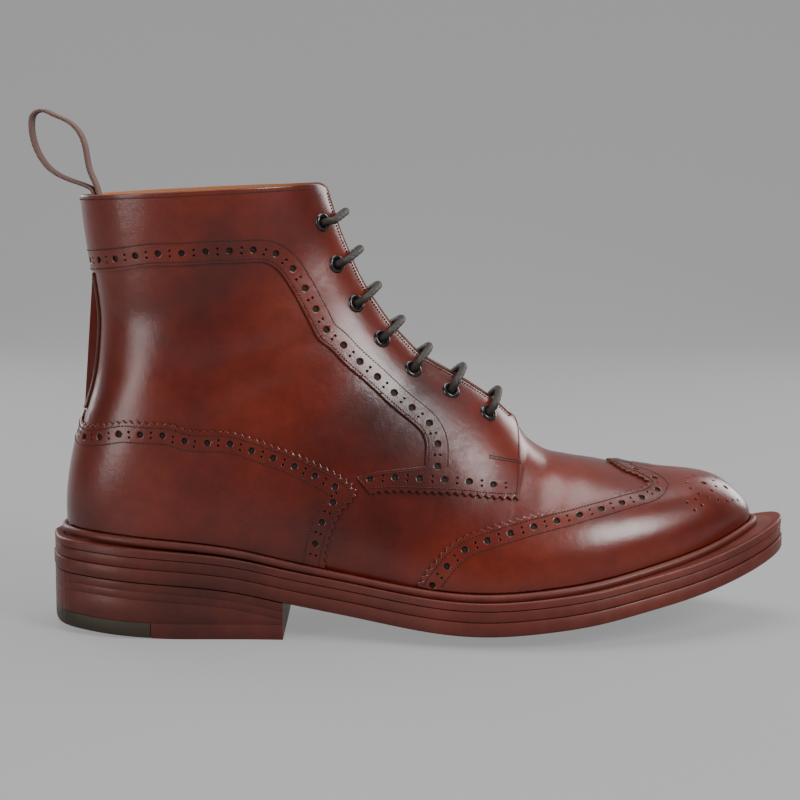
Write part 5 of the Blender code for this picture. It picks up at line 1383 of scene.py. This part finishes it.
def layer_profile(under, over, inset, soft):
    """Edge of a layer with both corners softened."""
    if under is not tread and under is not heel_floor:
        under = raised(under, -0.8 * CLEARANCE)
    return ((inset + 2.2 * soft, under), (inset + 0.6 * soft, raised(under, 0.5 * soft)),
            (inset, raised(under, 1.8 * soft)), (inset, raised(over, -1.6 * soft)),
            (inset + 0.5 * soft, raised(over, -0.5 * soft)), (inset + 1.8 * soft, over))


heel_front = SOLE_BACK + HEEL_LENGTH
flat_from = heel_front - HEEL_REST_LENGTH


def heel_floor(x, y):
    """Underside of the heel: flat at the front, gently rising to the back."""
    return HEEL_BACK_LIFT * np.clip((flat_from - x) / (flat_from - SOLE_BACK), 0, None) ** 1.5


made = slab("leather_outsole", layer_profile(tread, at(OUTSOLE_THICKNESS), 0.0, 0.00045), SOLE_EDGE)
made.data.materials.append(UNDERSIDE)
under_count = (170 - 1) * (len(SOLE_ACROSS) - 1)
made.data.polygons.foreach_set("material_index",
                               [int(k < under_count) for k in range(len(made.data.polygons))])
done(made, "outsole")
profile = layer_profile(at(MIDSOLE_LEVEL), at(MIDSOLE_TOP), MIDSOLE_INSET, 0.00022)
done(slab("leather_midsole", profile, SOLE_EDGE), "midsole")

first_top = -FLAT_SPOT_DEPTH - CLEARANCE
first_low = first_top - LIFT_THICKNESS
second_low = first_low - CLEARANCE - LIFT_THICKNESS
joint = SOLE_BACK + TIP_LENGTH
piece_top = raised(heel_floor, TOP_PIECE_THICKNESS)
LIFT_SOFT, PIECE_SOFT, RUBBER_SOFT = 0.00003, 0.00009, 0.0003   # how far their corners are worn
heel_pieces = (
    ("first_lift", "heel_lift_1", at(first_low), at(first_top)),
    ("second_lift", "heel_lift_2", at(second_low), at(first_low - CLEARANCE)),
    ("wedge_lift", "heel_lift_3", raised(piece_top, CLEARANCE), at(second_low - CLEARANCE)),
)
for name, node, under, over in heel_pieces:
    profile = layer_profile(under, over, HEEL_INSET, LIFT_SOFT)
    done(slab(name, profile, SOLE_EDGE, front=heel_front), node)
profile = layer_profile(heel_floor, piece_top, HEEL_INSET, PIECE_SOFT)
done(slab("leather_top_piece", profile, SOLE_EDGE, joint + CLEARANCE, heel_front), "heel_top_piece")
profile = layer_profile(heel_floor, piece_top, HEEL_INSET, RUBBER_SOFT)
done(slab("rubber_tip", profile, RUBBER, front=joint), "heel_rubber_tip")

# Welt: a rounded storm rib over a flat strip with wheel marks
EDGE_COUNT = 900


def edge_lines():
    """Feather line, welt's edge, rib's line and their outward directions on both sides."""
    found = {}
    places = np.linspace(HEEL_AT, 0, EDGE_COUNT)
    for side in (-1, 1):
        line = last_points(places, np.full(len(places), float(side)))[:, :2]
        way = np.gradient(line, axis=0)
        way[0] = (0, side)
        way[-1] = (0, -side)
        way = way / np.linalg.norm(way, axis=1)[:, None]
        outward = np.column_stack((-way[:, 1], way[:, 0])) * side
        share = (line[:, 0] - line[0, 0]) / (line[-1, 0] - line[0, 0])
        margin = TOE_MARGIN * spline(MARGIN_AT, MARGINS, share)[:, 0]
        toe, heel = level_ends(RIB_AT)
        spots = toe + (heel - toe) * places / HEEL_AT
        high = []
        for spot in spots:
            i = min(int(spot * TABLE_ROWS), TABLE_ROWS - 1)
            part = spot * TABLE_ROWS - i
            heights = FINE_UP[i] * (1 - part) + FINE_UP[i + 1] * part
            top = int(heights.argmax()) + 1
            high.append(np.interp(RIB_AT, heights[:top], np.linspace(0, 1, TABLE_COLUMNS + 1)[:top]))
        rib, normal = surface(side, spots, np.array(high))
        flat = normal[:, :2] / np.maximum(np.linalg.norm(normal[:, :2], axis=1), 1e-9)[:, None]
        found[side] = (line, line + outward * (margin - WELT_INSET)[:, None], rib[:, :2], flat, outward)
    return found


RIB_AT = 0.0056             # middle of the rib above the feather line
RIB_OUT = 0.0022            # and out from the upper
RIB_HALF_WIDTH = 0.0017
RIB_HALF_HEIGHT = 0.0019
WELT_CORNER = ((0.0, 0.0009), (0.00018, 0.00040), (0.0006, 0.00010))    # inset and drop
MARK_PITCH = 0.00125
MARK_DEPTH = 0.00022
WHEEL_MARK = ((0.0009, 0.3), (0.0016, 1.0), (0.0032, 1.0), (0.0040, 0.3), (0.0044, 0.0))
found = edge_lines()
loops = [np.concatenate((found[1][k], found[-1][k][-2:0:-1])) for k in range(5)]
foot, outer, rib, rib_way, foot_way = loops
closed = np.concatenate((outer, outer[:1]))
run = np.concatenate(([0], np.cumsum(np.linalg.norm(np.diff(closed, axis=0), axis=1))))
MARKS = int(run[-1] / MARK_PITCH)
stops = np.linspace(0, run[-1], MARKS * 4, endpoint=False)


def even(values):
    """Values of a loop at equal steps of the outer edge."""
    values = np.concatenate((values, values[:1]))
    return np.column_stack([np.interp(stops, run, values[:, k]) for k in range(values.shape[1])])


foot, outer, rib, rib_way, foot_way = (even(values) for values in loops)
notch = np.where(np.arange(len(stops)) % 4 < 2, 1.0, 0.0)


def placed(flat, height, from_bed=True):
    """Points over plan positions, at a level of the sole or above the feather line."""
    if from_bed:
        return np.column_stack((flat, bed(flat[:, 0], flat[:, 1], height)))
    return np.column_stack((flat, seat(flat[:, 0]) + height))


inward_way = (foot - outer) / np.linalg.norm(foot - outer, axis=1)[:, None]
rings = [placed(foot + foot_way * 0.0006, SEAT_LEVEL), placed(outer, SEAT_LEVEL)]
for inset, drop in WELT_CORNER:
    rings.append(placed(outer + inward_way * inset, WELT_TOP - drop))
for inset, dip in WHEEL_MARK:
    ring = placed(outer + inward_way * inset, WELT_TOP)
    ring[:, 2] -= notch * MARK_DEPTH * dip
    rings.append(ring)
for turn in np.radians(np.linspace(-50, 190, 15)):
    flat = rib + rib_way * (RIB_OUT + RIB_HALF_WIDTH * math.cos(turn))
    rings.append(placed(flat, RIB_AT + RIB_HALF_HEIGHT * math.sin(turn), False))
total = len(stops)
faces = []
for k in range(len(rings)):
    a = k * total + np.arange(total)
    b = k * total + (np.arange(total) + 1) % total
    after = (k + 1) % len(rings) * total
    faces += np.column_stack((a, b, b - k * total + after, a - k * total + after)).tolist()
made = make("storm_welt", np.concatenate(rings), faces, SOLE_EDGE, edges_sharp=55)
done(made, "welt")

# Insole
places = np.linspace(0.02, HEEL_AT - 0.02, 160)
sides = []
for side in (-1, 1):
    line = last_points(places, np.full(len(places), float(side)))[:, :2]
    way = np.gradient(line, axis=0)
    way = way / np.linalg.norm(way, axis=1)[:, None]
    sides.append(line + np.column_stack((-way[:, 1], way[:, 0])) * side * (INSOLE_GAP + UPPER_WALL))
across = np.linspace(0, 1, 15)[None, :, None]
flat = (sides[0][:, None] * (1 - across) + sides[1][:, None] * across)[::-1]
grid = []
for height in (SEAT_LEVEL, SEAT_LEVEL + INSOLE_THICKNESS):
    xs, ys = flat[..., 0].ravel(), flat[..., 1].ravel()
    grid.append(np.column_stack((xs, ys, bed(xs, ys, height))).reshape(*flat.shape[:2], 3))
made = stacked("leather_insole", grid, INSOLE_LEATHER)
done(made, "insole")

# Lace: seven bars over the throat, joined by slanting runs behind the facings
LACE_CORD, lace_tree, lace_links, lace_shader = principled("waxed_cord", (0.016, 0.011, 0.008), 0.60)
lace_links.new(mix(lace_tree, noise(lace_tree, object_places(lace_tree), 300.0), (0.010, 0.0065, 0.0045),
                   (0.026, 0.018, 0.012)), lace_shader.inputs["Base Color"])
LACE_INSIDE = -(UPPER_WALL + LACE_SPACE + LACE_DIAMETER / 2)
LACE_OUTSIDE = LACE_RISE[-1][1] * LACE_DIAMETER
LACE_STEP = 0.00042
LACE_SIDES = 16
BRAID_PITCH = 0.0068


def over_last(first, last, height, count):
    """Points from one place and distance from the ridge to another, at a height over the last."""
    route = []
    for part in np.linspace(0, 1, count + 2)[1:-1]:
        place = first[0] + (last[0] - first[0]) * part
        away = first[1] + (last[1] - first[1]) * part
        side = -1 if away < 0 else 1
        point, _ = surface(side, place, from_ridge(side, place, abs(away)), height)
        route.append(point)
    return route


def lace_end(eyelet, towards):
    """Points through one eyelet from the inside out, turning towards the throat."""
    point, normal = eyelet[0], eyelet[1]
    way = towards - normal * np.dot(towards, normal)
    way = way / np.linalg.norm(way)
    return [point + normal * height * LACE_DIAMETER + way * step * LACE_DIAMETER
            for step, height in LACE_RISE]


outer_line, inner_line = eyelets[-1], eyelets[1]
reach = THROAT_GAP / 2 + EYELET_EDGE
turn_at = (outer_line[-1][2] + LACE_TURN, -LACE_RUN)
route = over_last((outer_line[0][2], -LACE_RUN), turn_at, LACE_INSIDE, 14)
route += over_last(turn_at, (outer_line[-1][2], -reach), LACE_INSIDE, 1)
for k in reversed(range(EYELET_COUNT)):
    across = inner_line[k][0] - outer_line[k][0]
    route += lace_end(outer_line[k], across)
    route += over_last((outer_line[k][2], -reach + 1.5 * LACE_DIAMETER),
                       (inner_line[k][2], reach - 1.5 * LACE_DIAMETER), LACE_OUTSIDE, 3)
    route += reversed(lace_end(inner_line[k], -across))
    if k:
        route += over_last((inner_line[k][2], reach), (outer_line[k - 1][2], -reach), LACE_INSIDE, 4)
route = smooth(route, 2)
run = np.concatenate(([0], np.cumsum(np.linalg.norm(np.diff(route, axis=0), axis=1))))
stops = np.arange(0, run[-1], LACE_STEP)
route = np.column_stack([np.interp(stops, run, route[:, k]) for k in range(3)])
ways = np.gradient(route, axis=0)
ways = ways / np.linalg.norm(ways, axis=1)[:, None]
first = np.array((0.6, 0.8, 0.0))
points = []
angle = np.linspace(0, 2 * math.pi, LACE_SIDES, endpoint=False)
for k, (spot, way) in enumerate(zip(route, ways)):
    first = first - way * np.dot(first, way)
    first = first / np.linalg.norm(first)
    second = np.cross(way, first)
    along = stops[k] * 2 * math.pi / BRAID_PITCH
    braid = np.abs(np.sin(2 * angle + along)) * np.abs(np.sin(2 * angle - along))
    radius = LACE_DIAMETER / 2 * (0.88 + 0.15 * braid)
    ring = first * (np.cos(angle) * radius)[:, None] + second * (np.sin(angle) * radius)[:, None]
    points.append(spot + ring)
faces = tube_faces(len(route), LACE_SIDES, capped=True)
done(make("braided_lace", np.concatenate(points), faces, LACE_CORD), "lace")

# Pull loop of webbing
WEBBING, web_tree, web_links, web_shader = principled("webbing", (0.105, 0.055, 0.045), 0.85)
wave = web_tree.nodes.new("ShaderNodeTexWave")
wave.bands_direction = "DIAGONAL"
wave.inputs["Scale"].default_value = 420.0
web_links.new(object_places(web_tree), wave.inputs["Vector"])
web_links.new(mix(web_tree, wave.outputs["Fac"], (0.075, 0.038, 0.032), (0.150, 0.085, 0.070)),
              web_shader.inputs["Base Color"])
web_links.new(bump(web_tree, wave.outputs["Fac"], 0.0003, 0.6), web_shader.inputs["Normal"])
back = surface(-1, 1.0, 0.0)[0]
LOOP_IN = UPPER_WALL + LOOP_SPACE + LOOP_THICKNESS / 2
loop_run = np.array([(x * LOOP_HEIGHT, z * LOOP_HEIGHT, turn) for x, z, turn in LOOP_ROUTE])
steps = np.concatenate(([0], np.cumsum(np.linalg.norm(np.diff(loop_run[:, :2], axis=0), axis=1))))
line = spline(steps, loop_run, np.linspace(0, steps[-1], 150))
ways = np.gradient(line[:, :2], axis=0)
ways = ways / np.linalg.norm(ways, axis=1)[:, None]
WEB_PROFILE = ((-1, -0.6), (-0.93, -1), (-0.5, -1), (0, -1), (0.5, -1), (0.93, -1), (1, -0.6), (1, 0.6),
               (0.93, 1), (0.5, 1), (0, 1), (-0.5, 1), (-0.93, 1), (-1, 0.6))
points = []
for (x, z, turn), (dx, dz) in zip(line, ways):
    middle = back + np.array((x + LOOP_IN, 0.0, z))
    out = np.array((-dz, 0.0, dx))
    flat = np.array((0.0, math.cos(turn), 0.0)) + np.array((dx, 0.0, dz)) * math.sin(turn)
    points += [middle + flat * u * LOOP_WIDTH / 2 + out * v * LOOP_THICKNESS / 2 for u, v in WEB_PROFILE]
faces = tube_faces(len(line), len(WEB_PROFILE), capped=True)
done(make("webbing_loop", np.array(points), faces, WEBBING, edges_sharp=60), "pull_loop")

# Thread and the painted shade under the punched holes
made = make("painted_hole_shade_sheet", np.concatenate(shade_sheets["points"]), shade_sheets["faces"], HOLE_SHADE_PAINT)
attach(made, "root")
made = make("stitching", np.concatenate(stitches["points"]), np.concatenate(stitches["faces"]), THREAD)
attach(made, "root")

# Backdrop, lights and camera
BACKDROP, _, _, backdrop_shader = principled("backdrop", (0.14, 0.14, 0.14), 0.9)
backdrop_shader.inputs["Specular IOR Level"].default_value = 0.0
backdrop_shader.inputs["Emission Color"].default_value = (1.0, 1.0, 1.0, 1)
backdrop_shader.inputs["Emission Strength"].default_value = 0.29
WALL_AT, WALL_BEND = 2.0, 0.8   # place of the wall behind the boot and radius of its foot
curve = [(-3.0, 0.0), (WALL_AT - WALL_BEND, 0.0)]
for turn in np.linspace(0.1, math.pi / 2, 14):
    curve.append((WALL_AT - WALL_BEND * (1 - math.sin(turn)), WALL_BEND * (1 - math.cos(turn))))
curve.append((WALL_AT, 4.0))
sweep = [(x, y, z) for x in (-4.0, 4.0) for y, z in curve]
half = len(sweep) // 2
mesh = bpy.data.meshes.new("backdrop")
mesh.from_pydata(sweep, [], [(k, k + half, k + half + 1, k + 1) for k in range(half - 1)])
mesh.materials.append(BACKDROP)
mesh.shade_smooth()
backdrop = bpy.data.objects.new("backdrop", mesh)
bpy.context.scene.collection.objects.link(backdrop)


def lamp(name, where, target, width, height, power, colour=(1.0, 1.0, 1.0)):
    """Rectangular soft light aimed at a point."""
    data = bpy.data.lights.new(name, "AREA")
    data.shape = "RECTANGLE"
    data.size = width
    data.size_y = height
    data.energy = power
    data.color = colour
    made = bpy.data.objects.new(name, data)
    made.location = where
    made.rotation_euler = (Vector(target) - Vector(where)).to_track_quat("-Z", "Y").to_euler()
    bpy.context.scene.collection.objects.link(made)


MIDDLE = (0.0, 0.0, 0.09)
lamp("key_right", (0.75, -0.75, 0.75), (0.05, 0.0, 0.06), 0.5, 0.5, 16.0)
lamp("left_strip", (-0.75, -0.60, 0.30), (-0.12, 0.0, 0.12), 0.34, 0.80, 5.0)
lamp("overhead", (0.05, 0.1, 1.2), MIDDLE, 1.0, 0.8, 14.0)
lamp("behind_left", (-0.8, 0.8, 0.5), MIDDLE, 0.5, 0.7, 7.0)
lamp("behind_right", (0.8, 0.8, 0.5), MIDDLE, 0.5, 0.7, 7.0)

world = bpy.context.scene.world or bpy.data.worlds.new("world")
bpy.context.scene.world = world
world.use_nodes = True
world.node_tree.nodes["Background"].inputs["Color"].default_value = (0.55, 0.55, 0.55, 1)
world.node_tree.nodes["Background"].inputs["Strength"].default_value = 0.30

camera_data = bpy.data.cameras.new("camera")
camera_data.lens = 93.9
camera_data.sensor_width = 36.0
camera = bpy.data.objects.new("camera", camera_data)
camera.location = (-0.0052, -0.899, 0.212)
camera.rotation_euler = (math.radians(90 - 7.254), 0.0, 0.0)
bpy.context.scene.collection.objects.link(camera)
bpy.context.scene.camera = camera
